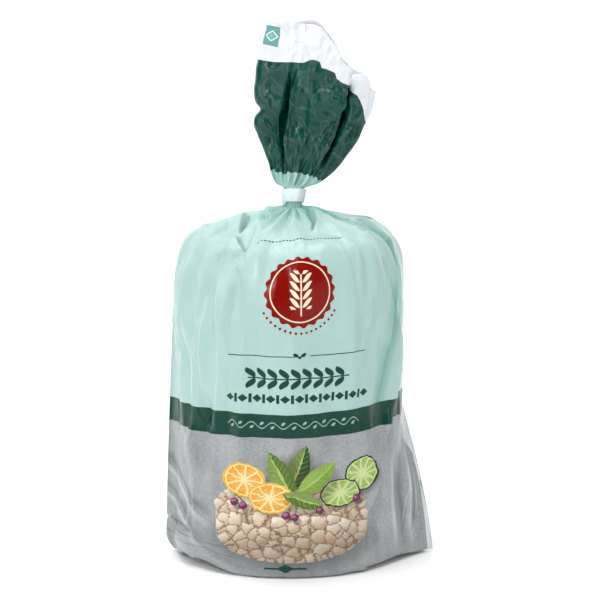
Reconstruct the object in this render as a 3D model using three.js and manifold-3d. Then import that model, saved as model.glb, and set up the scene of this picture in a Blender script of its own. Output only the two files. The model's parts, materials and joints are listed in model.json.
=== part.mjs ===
// A bag of puffed rice cakes, standing on its base.
// One stack of round cakes fills a tube of printed plastic film. The film runs straight up the
// stack, leans in over the top cake, is gathered into a neck and spreads above it as a crumpled
// fan. A strip of white paper tape is wound round the neck. The bag's two side seals stand out
// from the stack towards the base as flat ears, the right one further than the left.
// The bag is shut and full, so bag and contents are one solid. The tape is the other.
// Units are millimetres. The origin is on the floor under the stack's axis, +Z is up, and the
// printed front faces -Y.

import * as THREE from "three";
import { mergeVertices } from "three/addons/utils/BufferGeometryUtils.js";
import Module from "manifold-3d";

const { sin, cos, PI, abs, hypot, exp, sqrt, max } = Math;
const { lerp, smoothstep } = THREE.MathUtils;

// ---------------------------------------------------------------- driving dimensions
const CAKE_DIAMETER = 95;
const FILM_STAND_OFF = 1.7; // the film hangs this far off the cakes
const BODY_RADIUS = CAKE_DIAMETER / 2 + FILM_STAND_OFF;
const BASE_ROUNDING = 3; // the film turns under the lowest cake
const SHOULDER_HEIGHT = 112; // the wall starts to lean in here

// Above the shoulder the film rounds the top cake's rim and then climbs as a low cone.
const RIM_RISE = 30;
const RIM_SHARPNESS = 13;
const CONE_RISE = 14;

// The side seals, which stand out as ears: how far from the axis, and from what height down.
const RIGHT_EAR = { reach: 62.8, top: 66, corner: 1.2 };
const LEFT_EAR = { reach: 53.8, top: 125, corner: 4 };
const SEAL_WIDTH = 4; // both panels run flat together this far in from the edge
const EAR_CLEARANCE = 1.4; // the ears' lower edges hang just above the floor

// The neck, inside the tape.
const NECK_BOTTOM = 153.4;
const NECK_TOP = 160.4;
const NECK_X = 1.8; // the neck's foot, off the stack's axis
const NECK_SLANT = 0.05; // mm across for each mm up
const NECK_HALF_WIDTH = { foot: 3.6, head: 4.7 };
const NECK_HALF_DEPTH = 4.3;
const BACKWARD_LEAN = 0.2; // the fan leans away from the front, in mm for each mm up

// The fan of film above the neck.
const FAN_LEFT = { start: 1, spread: 12.3, within: 16, turnsBack: 5 };
const FAN_RIGHT = { start: 1.6, spread: 33.5, within: 19.5 };
const FAN_HEIGHT = 70;
const FAN_DROP = { from: 9, to: 30, by: 21.5, tip: 8 }; // the mouth's edge falls to the right
const FAN_TIPS = { left: -10, right: 38 };
const FAN_HALF_DEPTH = 10.5;

// The tape.
const TAPE_GAP = 0.3;
const TAPE_THICKNESS = 0.45;
const TAPE_BOTTOM = 154.1;
const TAPE_TOP = 159.7;
const TAPE_OVERLAP = { from: 0.2, to: 0.62, drop: 0.9, thickness: 0.3 };

// Folds.
const PLEATS = 18; // round the whole bag
const DOME_PLEAT = 1.7;
const FAN_PLEAT = 0.9;
// Deep valleys part the fan into lobes: where they are across it, and how wide and deep.
const FRONT_VALLEYS = [
  { at: 0.27, width: 0.04, depth: 4.6 },
  { at: 0.74, width: 0.045, depth: 3.6 },
];
const BACK_VALLEYS = [
  { at: 0.32, width: 0.05, depth: 3.8 },
  { at: 0.68, width: 0.05, depth: 3.8 },
];
const WALL_WAVE = 0.5;
const CREASE_HEIGHT = 1.3;
const CREASE_WIDTH = 0.013; // as a share of the way round

// How finely the solids are faceted.
const COLUMNS = 96; // a multiple of four
const TAPE_COLUMNS = 48;
const WALL_HEIGHTS = [0, 0.5, EAR_CLEARANCE, 3, 5.5, 10, 17, 25, 34, 44, 54, 64, 76, 88, 100];
const DOME_ROWS = 13;
const NECK_ROWS = 3;
const FAN_ROWS = 15;

// ---------------------------------------------------------------- the folds
// A point's place round the bag is q, from 0 to 1: 0 at the right side seal, 0.25 at the back,
// 0.5 at the left seal and 0.75 at the front.

// Uneven pleats, between -1 and 1, the same ones from the shoulder up to the mouth.
function pleat(q) {
  const warp = 0.011 * sin(2 * PI * 3 * q + 1) + 0.007 * sin(2 * PI * 5 * q + 4);
  const size = 0.78 + 0.22 * sin(2 * PI * 4 * q + 2);
  const wave = sin(2 * PI * PLEATS * (q + warp));
  return size * (Math.asin(0.95 * wave) / Math.asin(0.95));
}

// Soft upright waves in the film that hangs round the stack.
function wallWave(q, z) {
  const drift = 0.004 * sin(z / 19);
  const fine = sin(2 * PI * 13 * (q + drift) + 0.6);
  const broad = sin(2 * PI * 7 * (q - drift) + 2.1);
  return WALL_WAVE * (0.6 * fine + 0.4 * broad) * smoothstep(z, 4, 40);
}

// A raised crease at place qc.
function ridge(q, qc) {
  return CREASE_HEIGHT * exp(-(((q - qc) / CREASE_WIDTH) ** 2));
}

// The two long creases where the film is folded over itself, left and right of the front.
function creases(q, z) {
  const left = ridge(q, lerp(0.607, 0.575, z / 110)) * (1 - smoothstep(z, 80, 118));
  const right = ridge(q, lerp(0.868, 0.937, z / 68)) * (1 - smoothstep(z, 56, 76));
  return (left + right) * smoothstep(z, 1, 12);
}

// ---------------------------------------------------------------- the wall and its ears
function earReach(ear, z) {
  const down = THREE.MathUtils.clamp(1 - z / ear.top, 0, 1);
  const spread = (down + sin((PI / 2) * down)) / 2;
  const rounded = 1.6 * max(0, 1 - z / ear.corner) ** 2;
  const reach = BODY_RADIUS + (ear.reach - BODY_RADIUS) * spread - rounded;
  return max(reach * smoothstep(z + 2.2, 0, 2.2 + EAR_CLEARANCE), wallRadius(z)) + 0.01;
}

function wallRadius(z) {
  const under = max(0, 1 - z / BASE_ROUNDING);
  return BODY_RADIUS - BASE_ROUNDING * (1 - sqrt(1 - under * under));
}

// A quarter of the bag's outline, from the seal's edge on the X axis to the middle of a face:
// flat along the seal, then tangent to the round stack.
function quarterOutline(reach, radius) {
  const turn = Math.acos(radius / reach);
  const leaves = new THREE.Vector2(radius * cos(turn), radius * sin(turn));
  const edge = new THREE.Vector2(reach, 0);
  const seal = Math.min(SEAL_WIDTH, (reach - leaves.x) / 2);
  const path = new THREE.CurvePath();
  const leaving = leaves.clone().lerp(edge, 0.45);
  const meeting = new THREE.Vector2(reach - seal, 0);
  path.add(new THREE.CubicBezierCurve(edge, meeting, leaving, leaves));
  path.add(new THREE.EllipseCurve(0, 0, radius, radius, turn, PI / 2));
  return path.getSpacedPoints(COLUMNS / 4);
}

// One level ring of the wall, as COLUMNS points.
function wallRing(z) {
  const radius = wallRadius(z);
  const right = quarterOutline(earReach(RIGHT_EAR, z), radius);
  const left = quarterOutline(earReach(LEFT_EAR, z), radius);
  const quarter = COLUMNS / 4;
  return columns(COLUMNS, (q, j) => {
    const side = Math.floor(j / quarter);
    const along = j % quarter;
    const fromSeal = side % 2 === 0 ? along : quarter - along;
    const point = (side === 0 || side === 3 ? right : left)[fromSeal];
    const out = 1 + (wallWave(q, z) + creases(q, z)) / point.length();
    const signX = side === 0 || side === 3 ? 1 : -1;
    const signY = side < 2 ? 1 : -1;
    return new THREE.Vector3(signX * point.x * out, signY * point.y * out, z);
  });
}

// ---------------------------------------------------------------- over the top cake to the neck
function neckAt(z) {
  const up = (z - NECK_BOTTOM) / (NECK_TOP - NECK_BOTTOM);
  return {
    x: NECK_X + NECK_SLANT * (z - NECK_BOTTOM),
    y: BACKWARD_LEAN * (z - NECK_BOTTOM),
    halfWidth: lerp(NECK_HALF_WIDTH.foot, NECK_HALF_WIDTH.head, up),
    halfDepth: NECK_HALF_DEPTH,
  };
}

// A ring of the dome, where share runs from 1 at the wall to 0 at the neck.
function domeRing(share) {
  const foot = neckAt(NECK_BOTTOM);
  const across = lerp(foot.halfWidth / BODY_RADIUS, 1, share);
  const rim = RIM_RISE * sqrt(1 - across ** RIM_SHARPNESS);
  const height = (rim + CONE_RISE * (1 - across)) / (RIM_RISE + CONE_RISE);
  const z = lerp(SHOULDER_HEIGHT, NECK_BOTTOM, height);
  const depth = lerp(foot.halfDepth, BODY_RADIUS, share);
  const width = lerp(foot.halfWidth, BODY_RADIUS, share);
  const folded = DOME_PLEAT * smoothstep(1 - share, 0.02, 0.5) * smoothstep(share, 0, 0.25);
  const centre = foot.x * (1 - share);
  return columns(COLUMNS, (q) => {
    const angle = 2 * PI * q;
    const wave = folded * pleat(q);
    const out = 1 + (wallWave(q, z) * share * 0.6) / BODY_RADIUS + (0.25 * wave) / depth;
    return new THREE.Vector3(centre + width * cos(angle) * out, depth * sin(angle) * out, z + wave);
  });
}

function neckRing(z) {
  const neck = neckAt(z);
  return columns(COLUMNS, (q) => {
    const tuck = 1 - 0.05 * (1 + pleat(q));
    const x = neck.x + neck.halfWidth * tuck * cos(2 * PI * q);
    const y = neck.y + neck.halfDepth * tuck * sin(2 * PI * q);
    return new THREE.Vector3(x, y, z);
  });
}

// ---------------------------------------------------------------- the fan above the neck
function fanEdges(height) {
  const neck = neckAt(NECK_TOP);
  const left =
    neck.x -
    neck.halfWidth -
    FAN_LEFT.start -
    FAN_LEFT.spread * (1 - exp(-height / FAN_LEFT.within)) +
    FAN_LEFT.turnsBack * smoothstep(height, 40, FAN_HEIGHT);
  const right =
    neck.x +
    neck.halfWidth +
    FAN_RIGHT.start +
    FAN_RIGHT.spread * (1 - exp(-height / FAN_RIGHT.within));
  return { left, right };
}

// How high the mouth's edge stands over the neck at an x.
function mouthHeight(x) {
  const { from, to, by, tip } = FAN_DROP;
  return FAN_HEIGHT - by * smoothstep(x, from, to) - tip * smoothstep(x, to, FAN_TIPS.right);
}

// How deep the valleys are at a place across the fan, from 0 at its left edge to 1.
function valleyDepth(across, front) {
  const valleys = front ? FRONT_VALLEYS : BACK_VALLEYS;
  return valleys.reduce((sum, { at, width, depth }) => {
    return sum + depth * exp(-(((across - at) / width) ** 2));
  }, 0);
}

function fanRing(share) {
  const neck = neckAt(NECK_TOP);
  return columns(COLUMNS, (q) => {
    const front = q >= 0.5;
    const even = front ? 2 * q - 1 : 1 - 2 * q;
    const tip = mouthHeight(lerp(FAN_TIPS.left, FAN_TIPS.right, even));
    const height = 0.2 + (tip - 0.2) * share;
    const opened = smoothstep(height, 0, 14);
    const across = lerp((1 + cos(2 * PI * q)) / 2, even, opened);
    const { left, right } = fanEdges(height);
    const start = (1 - smoothstep(height, 0, 3)) * (1 - 2 * across);
    const lens = sqrt(max(0, 1 - (2 * across - 1) ** 2));
    const depth = lerp(neck.halfDepth + 0.4, FAN_HALF_DEPTH, smoothstep(height, 0, 55));
    const folds = smoothstep(height, 0, 30) * (FAN_PLEAT * pleat(q) - valleyDepth(across, front));
    const y = (front ? -1 : 1) * lens * (depth + folds);
    return new THREE.Vector3(
      lerp(left, right, across) + 1.2 * start,
      neck.y + y + BACKWARD_LEAN * height,
      NECK_TOP + height,
    );
  });
}

// ---------------------------------------------------------------- making solids
function columns(count, pointAt) {
  return Array.from({ length: count }, (_, j) => pointAt(j / count, j));
}

// Skins a stack of rings, lowest first and each running anticlockwise, and closes both ends.
function skin(rings) {
  const count = rings[0].length;
  const middle = (ring) =>
    ring.reduce((sum, p) => sum.add(p), new THREE.Vector3()).divideScalar(count);
  const points = [...rings.flat(), middle(rings[0]), middle(rings.at(-1))];
  const low = points.length - 2;
  const high = points.length - 1;
  const index = [];
  rings.slice(1).forEach((_, row) => {
    for (let j = 0; j < count; j++) {
      const a = row * count + j;
      const b = row * count + ((j + 1) % count);
      index.push(a, b, b + count, a, b + count, a + count);
    }
  });
  const last = (rings.length - 1) * count;
  for (let j = 0; j < count; j++) {
    const next = (j + 1) % count;
    index.push(low, next, j, high, last + j, last + next);
  }
  const geometry = new THREE.BufferGeometry().setFromPoints(points);
  geometry.setIndex(index);
  return geometry;
}

function bagGeometry() {
  const wall = WALL_HEIGHTS.map(wallRing);
  const dome = columns(DOME_ROWS, (step) => domeRing((1 - step) ** 0.8 * 0.999));
  const neck = columns(NECK_ROWS, (step) => neckRing(lerp(NECK_BOTTOM, NECK_TOP, step)));
  const fan = columns(FAN_ROWS + 1, (_, row) => fanRing((row / FAN_ROWS) ** 1.3));
  return skin([...wall, ...dome, ...neck, neckRing(NECK_TOP), ...fan]);
}

// ---------------------------------------------------------------- the tape
// A band of the tape: an upright strip round the neck between two offsets from its film.
function tapeBand(bottom, top, inner, outer, from, to) {
  const turn = (offset, z) =>
    columns(TAPE_COLUMNS, (_, j) => {
      const q = lerp(from, to, j / (TAPE_COLUMNS - (to - from < 1 ? 1 : 0)));
      const neck = neckAt(z);
      const x = neck.x + (neck.halfWidth + offset) * cos(2 * PI * q);
      const y = neck.y + (neck.halfDepth + offset) * sin(2 * PI * q);
      return new THREE.Vector3(x, y, z);
    });
  return [turn(outer, bottom), turn(outer, top), turn(inner, top), turn(inner, bottom)];
}

// Joins the four edge lines of a band into a closed strip, with end faces where it isn't a ring.
function strip(lines, closed) {
  const count = lines[0].length;
  const index = [];
  const quad = (a, b, c, d) => index.push(a, b, c, a, c, d);
  for (let j = 0; j < (closed ? count : count - 1); j++) {
    const next = (j + 1) % count;
    lines.forEach((_, k) => {
      const up = (k + 1) % 4;
      quad(k * count + j, k * count + next, up * count + next, up * count + j);
    });
  }
  if (!closed) {
    quad(0, count, 2 * count, 3 * count);
    quad(4 * count - 1, 3 * count - 1, 2 * count - 1, count - 1);
  }
  const geometry = new THREE.BufferGeometry().setFromPoints(lines.flat());
  geometry.setIndex(index);
  return geometry;
}

const wasm = await Module();
wasm.setup();

function solidOf(geometry) {
  const merged = mergeVertices(geometry, 1e-4);
  const vertProperties = new Float32Array(merged.attributes.position.array);
  const triVerts = new Uint32Array(merged.index.array);
  return new wasm.Manifold(new wasm.Mesh({ numProp: 3, vertProperties, triVerts }));
}

function geometryOf(solid) {
  const mesh = solid.getMesh();
  const geometry = new THREE.BufferGeometry();
  geometry.setAttribute("position", new THREE.BufferAttribute(mesh.vertProperties, 3));
  geometry.setIndex(new THREE.BufferAttribute(mesh.triVerts, 1));
  return geometry;
}

// One full turn, and the strip's free end, which overlaps it a little lower.
function tapeGeometry() {
  const outside = TAPE_GAP + TAPE_THICKNESS;
  const { from, to, drop, thickness } = TAPE_OVERLAP;
  const turn = strip(tapeBand(TAPE_BOTTOM, TAPE_TOP, TAPE_GAP, outside, 0, 1), true);
  const bite = outside - TAPE_THICKNESS / 3;
  const end = strip(
    tapeBand(TAPE_BOTTOM - drop, TAPE_TOP - drop, bite, outside + thickness, from, to),
    false,
  );
  return geometryOf(solidOf(turn).add(solidOf(end)));
}

// ---------------------------------------------------------------- the finished part
const film = new THREE.MeshStandardMaterial({ color: 0xb4d9cd, roughness: 0.35, metalness: 0 });
const paper = new THREE.MeshStandardMaterial({ color: 0xe9f3f3, roughness: 0.8, metalness: 0 });

function named(name, geometry, material) {
  geometry.computeVertexNormals();
  const mesh = new THREE.Mesh(geometry, material);
  mesh.name = name;
  return mesh;
}

const bagOfRiceCakes = new THREE.Group();
bagOfRiceCakes.add(named("film_bag", bagGeometry(), film));
bagOfRiceCakes.add(named("closure_tape", tapeGeometry(), paper));

export default bagOfRiceCakes;
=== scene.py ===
# %% [markdown]
# # A bag of puffed rice cakes
# The bag is a tube of thin printed plastic film. It hangs round a stack of round rice cakes,
# is gathered over the top cake, tied with a strip of paper tape and left to spread above it.
# This script dresses the packed model with real film: every piece starts as a flat sheet whose
# points are moved by NumPy, because then each point still knows its place on the flat film, and
# the print can be drawn in flat millimetres just as a press prints it. A cloth simulation could
# make the folds too, but it bulges like rubber, and film has straight creases between flat facets.

# %% Load the packed model
import json

import bpy
import numpy as np
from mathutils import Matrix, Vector
from mathutils.geometry import delaunay_2d_cdt

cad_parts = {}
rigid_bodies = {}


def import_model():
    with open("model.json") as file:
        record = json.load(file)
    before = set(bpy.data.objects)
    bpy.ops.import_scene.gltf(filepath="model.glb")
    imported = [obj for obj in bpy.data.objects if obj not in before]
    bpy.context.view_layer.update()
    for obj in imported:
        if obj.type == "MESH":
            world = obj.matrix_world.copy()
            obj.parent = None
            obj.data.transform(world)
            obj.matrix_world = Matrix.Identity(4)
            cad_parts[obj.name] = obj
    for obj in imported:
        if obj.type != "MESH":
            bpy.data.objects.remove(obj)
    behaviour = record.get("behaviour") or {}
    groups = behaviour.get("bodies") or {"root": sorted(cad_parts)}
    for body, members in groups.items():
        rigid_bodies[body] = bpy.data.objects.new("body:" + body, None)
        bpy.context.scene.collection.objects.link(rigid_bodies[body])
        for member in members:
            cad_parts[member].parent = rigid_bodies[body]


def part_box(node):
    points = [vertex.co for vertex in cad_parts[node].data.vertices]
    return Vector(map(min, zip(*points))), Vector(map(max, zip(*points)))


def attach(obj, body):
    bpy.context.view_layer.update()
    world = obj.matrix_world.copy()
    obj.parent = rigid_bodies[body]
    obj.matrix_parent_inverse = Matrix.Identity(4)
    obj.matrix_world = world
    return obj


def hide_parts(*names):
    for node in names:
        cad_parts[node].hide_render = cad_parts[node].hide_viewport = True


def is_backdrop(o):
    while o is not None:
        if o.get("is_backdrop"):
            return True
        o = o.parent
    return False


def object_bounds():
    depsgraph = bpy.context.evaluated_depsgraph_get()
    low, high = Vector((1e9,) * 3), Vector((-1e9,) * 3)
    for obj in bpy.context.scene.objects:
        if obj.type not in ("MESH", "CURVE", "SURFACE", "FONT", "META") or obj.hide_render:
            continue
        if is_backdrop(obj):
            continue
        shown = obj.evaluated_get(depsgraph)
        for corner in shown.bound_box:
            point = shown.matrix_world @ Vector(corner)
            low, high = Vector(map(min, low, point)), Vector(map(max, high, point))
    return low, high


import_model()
cad_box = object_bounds()
MM = 0.001
bag_low, bag_high = (np.array(corner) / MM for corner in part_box("film_bag"))
tape_low, tape_high = (np.array(corner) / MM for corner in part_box("closure_tape"))
print("bag from", bag_low.round(1), "to", bag_high.round(1), "mm")
print("tape from", tape_low.round(1), "to", tape_high.round(1), "mm")

# %% [markdown]
# ## The camera
# A long lens a good way off keeps upright things nearly parallel, as in a catalogue picture.
# The camera looks slightly down, at a point a little right of the stack's axis.

# %% Camera
CAMERA_AIM = np.array([4.7, 0.0, 111.5])
CAMERA_ELEVATION = np.radians(10)
CAMERA_DISTANCE = 1500
VIEW_WIDTH = 259  # mm across the picture at the stack's axis
SENSOR = 36

camera_data = bpy.data.cameras.new("camera")
camera_data.sensor_width = SENSOR
camera_data.lens = SENSOR * CAMERA_DISTANCE / VIEW_WIDTH
camera = bpy.data.objects.new("camera", camera_data)
bpy.context.scene.collection.objects.link(camera)
back_off = np.array([0, -np.cos(CAMERA_ELEVATION), np.sin(CAMERA_ELEVATION)]) * CAMERA_DISTANCE
camera.location = (CAMERA_AIM + back_off) * MM
camera.rotation_euler = (np.pi / 2 - CAMERA_ELEVATION, 0, 0)
bpy.context.scene.camera = camera
print("lens", round(camera_data.lens), "mm")

# %% [markdown]
# ## The floor
# The bag stands on pale paper that sweeps up behind it, so there is no horizon. A flat plane and a
# white world would do for one view. The sweep gives the same plain ground from every side, with
# the bag's soft shadow on it. The lamps don't reach its far ends, so those glow a little.

# %% Floor
FLOOR_HALF = 3.0  # m
SWEEP_AT = 0.9
SWEEP_RADIUS = 0.8
SWEEP_STEPS = 24
FLOOR_TONE = (0.93, 0.93, 0.93, 1)
FLOOR_ROUGHNESS = 0.9
FLOOR_GLOW = {"From Min": 0.75, "From Max": 2.3, "To Min": 0.0, "To Max": 0.85}  # over metres


def sweep_profile():
    """The paper seen from its side, as y and z."""
    turn = np.linspace(0, np.pi / 2, SWEEP_STEPS)
    curve_y = SWEEP_AT + SWEEP_RADIUS * np.sin(turn)
    curve_z = SWEEP_RADIUS * (1 - np.cos(turn))
    return [(-FLOOR_HALF, 0.0), *zip(curve_y, curve_z), (SWEEP_AT + SWEEP_RADIUS, FLOOR_HALF)]


def light_far_floor(tree, shader):
    """Emission that grows with the distance to the sides and to the front."""
    kinds = ("ShaderNodeTexCoord", "ShaderNodeSeparateXYZ", "ShaderNodeMapRange")
    place, split, glow = (tree.nodes.new(kind) for kind in kinds)
    sideways, forward, furthest = (tree.nodes.new("ShaderNodeMath") for _ in range(3))
    sideways.operation, forward.operation, furthest.operation = "ABSOLUTE", "MULTIPLY", "MAXIMUM"
    forward.inputs[1].default_value = -1
    glow.interpolation_type = "SMOOTHSTEP"
    for name, value in FLOOR_GLOW.items():
        glow.inputs[name].default_value = value
    for source, target in (
        (place.outputs["Object"], split.inputs[0]),
        (split.outputs["X"], sideways.inputs[0]),
        (split.outputs["Y"], forward.inputs[0]),
        (sideways.outputs[0], furthest.inputs[0]),
        (forward.outputs[0], furthest.inputs[1]),
        (furthest.outputs[0], glow.inputs["Value"]),
        (glow.outputs["Result"], shader.inputs["Emission Strength"]),
    ):
        tree.links.new(source, target)
    shader.inputs["Emission Color"].default_value = (1, 1, 1, 1)


def make_sweep():
    profile = sweep_profile()
    points = [(x, y, z) for y, z in profile for x in (-FLOOR_HALF, FLOOR_HALF)]
    faces = [(2 * i, 2 * i + 1, 2 * i + 3, 2 * i + 2) for i in range(len(profile) - 1)]
    mesh = bpy.data.meshes.new("floor_sweep")
    mesh.from_pydata(points, [], faces)
    mesh.shade_smooth()
    floor = bpy.data.objects.new("floor_sweep", mesh)
    bpy.context.scene.collection.objects.link(floor)
    material = bpy.data.materials.new("floor_paper")
    material.use_nodes = True
    shader = material.node_tree.nodes["Principled BSDF"]
    shader.inputs["Base Color"].default_value = FLOOR_TONE
    shader.inputs["Roughness"].default_value = FLOOR_ROUGHNESS
    light_far_floor(material.node_tree, shader)
    mesh.materials.append(material)
    floor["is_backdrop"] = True
    print("floor of", len(faces), "strips")


make_sweep()

# %% [markdown]
# ## The lamps
# Film shines, so what it reflects matters as much as what lights it. Four large soft lamps, in
# front, at each side and above, give the broad pale reflections of a light tent. A small one adds
# sharp sparks on the creases, one lights the backdrop, and a weak white world fills the shadows.

# %% Lamps
LAMPS = (  # name, place and size in m, watts, and what it points at
    ("lamp_front", (-0.8, -1.7, 0.7), (1.35, 1.15), 11.2, (0, 0, 0.1)),
    ("lamp_spark", (-0.45, -1.3, 1.2), (0.12, 0.12), 3.5, (0, 0, 0.1)),
    ("lamp_left", (-1.4, -0.7, 0.8), (0.7, 1.25), 6.2, (0, 0, 0.1)),
    ("lamp_right", (1.3, -0.8, 0.7), (0.65, 1.15), 6.8, (0, 0, 0.1)),
    ("lamp_above", (-0.15, -0.15, 1.5), (1.2, 1.0), 16, (0, 0, 0.1)),
    ("lamp_backdrop", (0, 0.6, 1.9), (2.4, 0.5), 24, (0, 1.7, 0.5)),
)
WORLD_STRENGTH = 0.08


def soft_lamp(name, place, size, watts, aim):
    lamp = bpy.data.lights.new(name, "AREA")
    lamp.shape = "RECTANGLE"
    lamp.size, lamp.size_y = size
    lamp.energy = watts
    lamp_object = bpy.data.objects.new(name, lamp)
    lamp_object.location = place
    towards = np.array(aim) - place
    lamp_object.rotation_euler = Vector(towards).to_track_quat("-Z", "Y").to_euler()
    bpy.context.scene.collection.objects.link(lamp_object)


for lamp_row in LAMPS:
    soft_lamp(*lamp_row)
world = bpy.data.worlds.new("weak_white_world")
world.use_nodes = True
world.node_tree.nodes["Background"].inputs["Color"].default_value = (1, 1, 1, 1)
world.node_tree.nodes["Background"].inputs["Strength"].default_value = WORLD_STRENGTH
bpy.context.scene.world = world
bpy.context.scene.view_settings.view_transform = "Standard"
print(len(LAMPS), "lamps,", round(sum(row[3] for row in LAMPS)), "watts in all")

# %% [markdown]
# ## Small tools for shaping film
# Four helpers do most of the work: a smooth step, a blend, a bell curve and gentle noise. The
# noise is a sum of sine waves with seeded phases. Its waves fit the bag's girth a whole number of
# times, so the pattern meets itself without a seam at the back, which Blender's own noise doesn't.

# %% Shaping helpers
FULL_TURN = 2 * np.pi
WAVES_IN_NOISE = 9


def smooth(value, low, high):
    """0 up to `low`, 1 from `high` on, and an even bend between them."""
    share = np.clip((value - low) / (high - low), 0, 1)
    return share * share * (3 - 2 * share)


def blend(start, end, share):
    return start + (end - start) * share


def bell(value, middle, width):
    return np.exp(-(((value - middle) / width) ** 2))


def waves(seed, around, along, turns, pitch):
    """Gentle noise: around is the share of the way round, along is in mm."""
    draw = np.random.default_rng(seed)
    total = 0
    for _ in range(WAVES_IN_NOISE):
        whole = draw.integers(turns[0], turns[1] + 1) * draw.choice([-1, 1])
        length = draw.uniform(pitch[0], pitch[1])
        phase = draw.uniform(0, FULL_TURN)
        total = total + np.sin(FULL_TURN * (whole * around + along / length) + phase)
    return total / np.sqrt(WAVES_IN_NOISE / 2)


print("a quarter of the way up a smooth step:", smooth(0.25, 0, 1))

# %% [markdown]
# ## The shape of the hanging film
# The bag's two sheets are welded along the sides. Round the stack the film is a plain tube, but
# the welds stick out towards the base as flat ears. A level cut through the bag is therefore a
# circle with two flat corners, and the cut is longer at the base than higher up. Real film can't
# shrink, so the spare width lies folded over itself in one long fold near each side. Lofting a
# surface through a few such cuts would be quicker, but it would lose the length of the film, and
# with it the folds and the way the print follows them.

# %% Level cuts through the bag
BODY_RADIUS = 49.2
BASE_ROUNDING = 3.0
SHOULDER_HEIGHT = 112.0
RIGHT_EAR = {"reach": 62.8, "top": 66, "corner": 1.2, "rounding": 1.6}
LEFT_EAR = {"reach": 53.8, "top": 125, "corner": 9, "rounding": 5.0}
EAR_STARTS = -2.2  # mm: below the floor, so that the ear is nearly full at its lower edge
EAR_CLEARANCE = 1.4
EAR_BEND = 0.45  # share of the way out where the film still leans towards the stack
SEAL_WIDTH = 4.0
CUT_STEPS = 240
HAIR = 0.01  # keeps an ear just outside the stack where it ends


def wall_radius(z):
    """Radius of the stack, which is rounded at its foot."""
    under = max(0.0, 1 - z / BASE_ROUNDING)
    return BODY_RADIUS - BASE_ROUNDING * (1 - np.sqrt(1 - under * under))


def ear_reach(ear, z):
    """How far the ear's edge is from the axis at height z."""
    down = np.clip(1 - z / ear["top"], 0, 1)
    spread = (down + np.sin(np.pi / 2 * down)) / 2
    rounded = ear["rounding"] * max(0, 1 - z / ear["corner"]) ** 2
    reach = BODY_RADIUS + (ear["reach"] - BODY_RADIUS) * spread - rounded
    return max(reach * smooth(z, EAR_STARTS, EAR_CLEARANCE), wall_radius(z)) + HAIR


def quarter_cut(reach, radius):
    """From the middle of a sheet to its side weld: distance along the cut, and the points."""
    turn = np.arccos(min(1.0, radius / reach))
    leaves = np.array([radius * np.cos(turn), radius * np.sin(turn)])
    edge = np.array([reach, 0.0])
    seal = min(SEAL_WIDTH, (reach - leaves[0]) / 2)
    t = np.linspace(1, 0, CUT_STEPS)[:, None]
    controls = [edge, np.array([reach - seal, 0]), blend(leaves, edge, EAR_BEND), leaves]
    weights = [(1 - t) ** 3, 3 * (1 - t) ** 2 * t, 3 * (1 - t) * t**2, t**3]
    bent = sum(w * c for w, c in zip(weights, controls))
    angles = np.linspace(np.pi / 2, turn, CUT_STEPS)
    arc = radius * np.stack([np.cos(angles), np.sin(angles)], 1)
    points = np.concatenate([arc, bent[1:]])
    steps = np.linalg.norm(np.diff(points, axis=0), axis=1)
    return np.concatenate([[0], np.cumsum(steps)]), points


BASE_HEIGHT = 2.0
FLAT_RIGHT = quarter_cut(ear_reach(RIGHT_EAR, BASE_HEIGHT), BODY_RADIUS)[0][-1]
FLAT_LEFT = quarter_cut(ear_reach(LEFT_EAR, BASE_HEIGHT), BODY_RADIUS)[0][-1]
GIRTH = 2 * (FLAT_RIGHT + FLAT_LEFT)
print("flat width of the bag", round(GIRTH / 2, 1), "mm")

# %% [markdown]
# ## Columns of the film
# A mesh of film is a grid. Each column is one upright line on the flat film, known by its
# distance from the middle of the front. The back has every second column of the front, and all
# of them near the welds, where the two sheets lie on each other and must not cut into each other.

# %% Columns
BOTH_FINE = 24.0  # mm from a weld
TRIAL_STEP = 2.0


def film_columns(step, back_has=2):
    """Flat distance of each column from the front's middle, from the left weld right round."""
    at_front = np.linspace(-FLAT_LEFT, FLAT_RIGHT, int(round(GIRTH / 2 / step)), endpoint=False)
    opposite = np.append(at_front, FLAT_RIGHT)[:0:-1]
    near_weld = (opposite > FLAT_RIGHT - BOTH_FINE) | (opposite < BOTH_FINE - FLAT_LEFT)
    kept = opposite[near_weld | (np.arange(len(opposite)) % back_has == 0)]
    return np.concatenate([at_front, 2 * FLAT_RIGHT - kept])


def sheet_place(flat):
    """Which sheet a column is on (-1 front, 1 back) and its distance from that sheet's middle."""
    on_back = flat > FLAT_RIGHT
    return np.where(on_back, 1.0, -1.0), np.where(on_back, 2 * FLAT_RIGHT - flat, flat)


print("at a step of", TRIAL_STEP, "mm the film has", len(film_columns(TRIAL_STEP)), "columns")

# %% [markdown]
# ## The long folds
# Walking from the middle of a sheet towards its weld, the film goes out to the fold's edge,
# turns back underneath for the width of the fold, and turns again. That zigzag is three straight
# pieces of a graph, and it also says which layer lies on top.

# %% Fold the film over itself
LAYER = {1: 0.7, -1: 0.42}  # mm between the layers of the right and the left fold
FOLD_CLOSES = 3.0  # mm beyond the fold over which its top layer comes down
FOLD_OPENS = 1.2  # mm of width at which the layers are fully apart
# Heights, and how far from the middle the fold's edge lies there.
FRONT_RIGHT_FOLD = ([0, 25, 31, 39, 56, 70, 85, 112], [36, 36.5, 41, 45, 50.5, 57.5, 60, 62])
FRONT_LEFT_FOLD = ([0, 30, 72, 109, 125], [50, 51, 50.5, 61, 64])
BACK_RIGHT_FOLD = ([0, 40, 90], [40, 52, 58])
BACK_LEFT_FOLD = ([0, 60, 112], [44, 54, 60])


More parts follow.
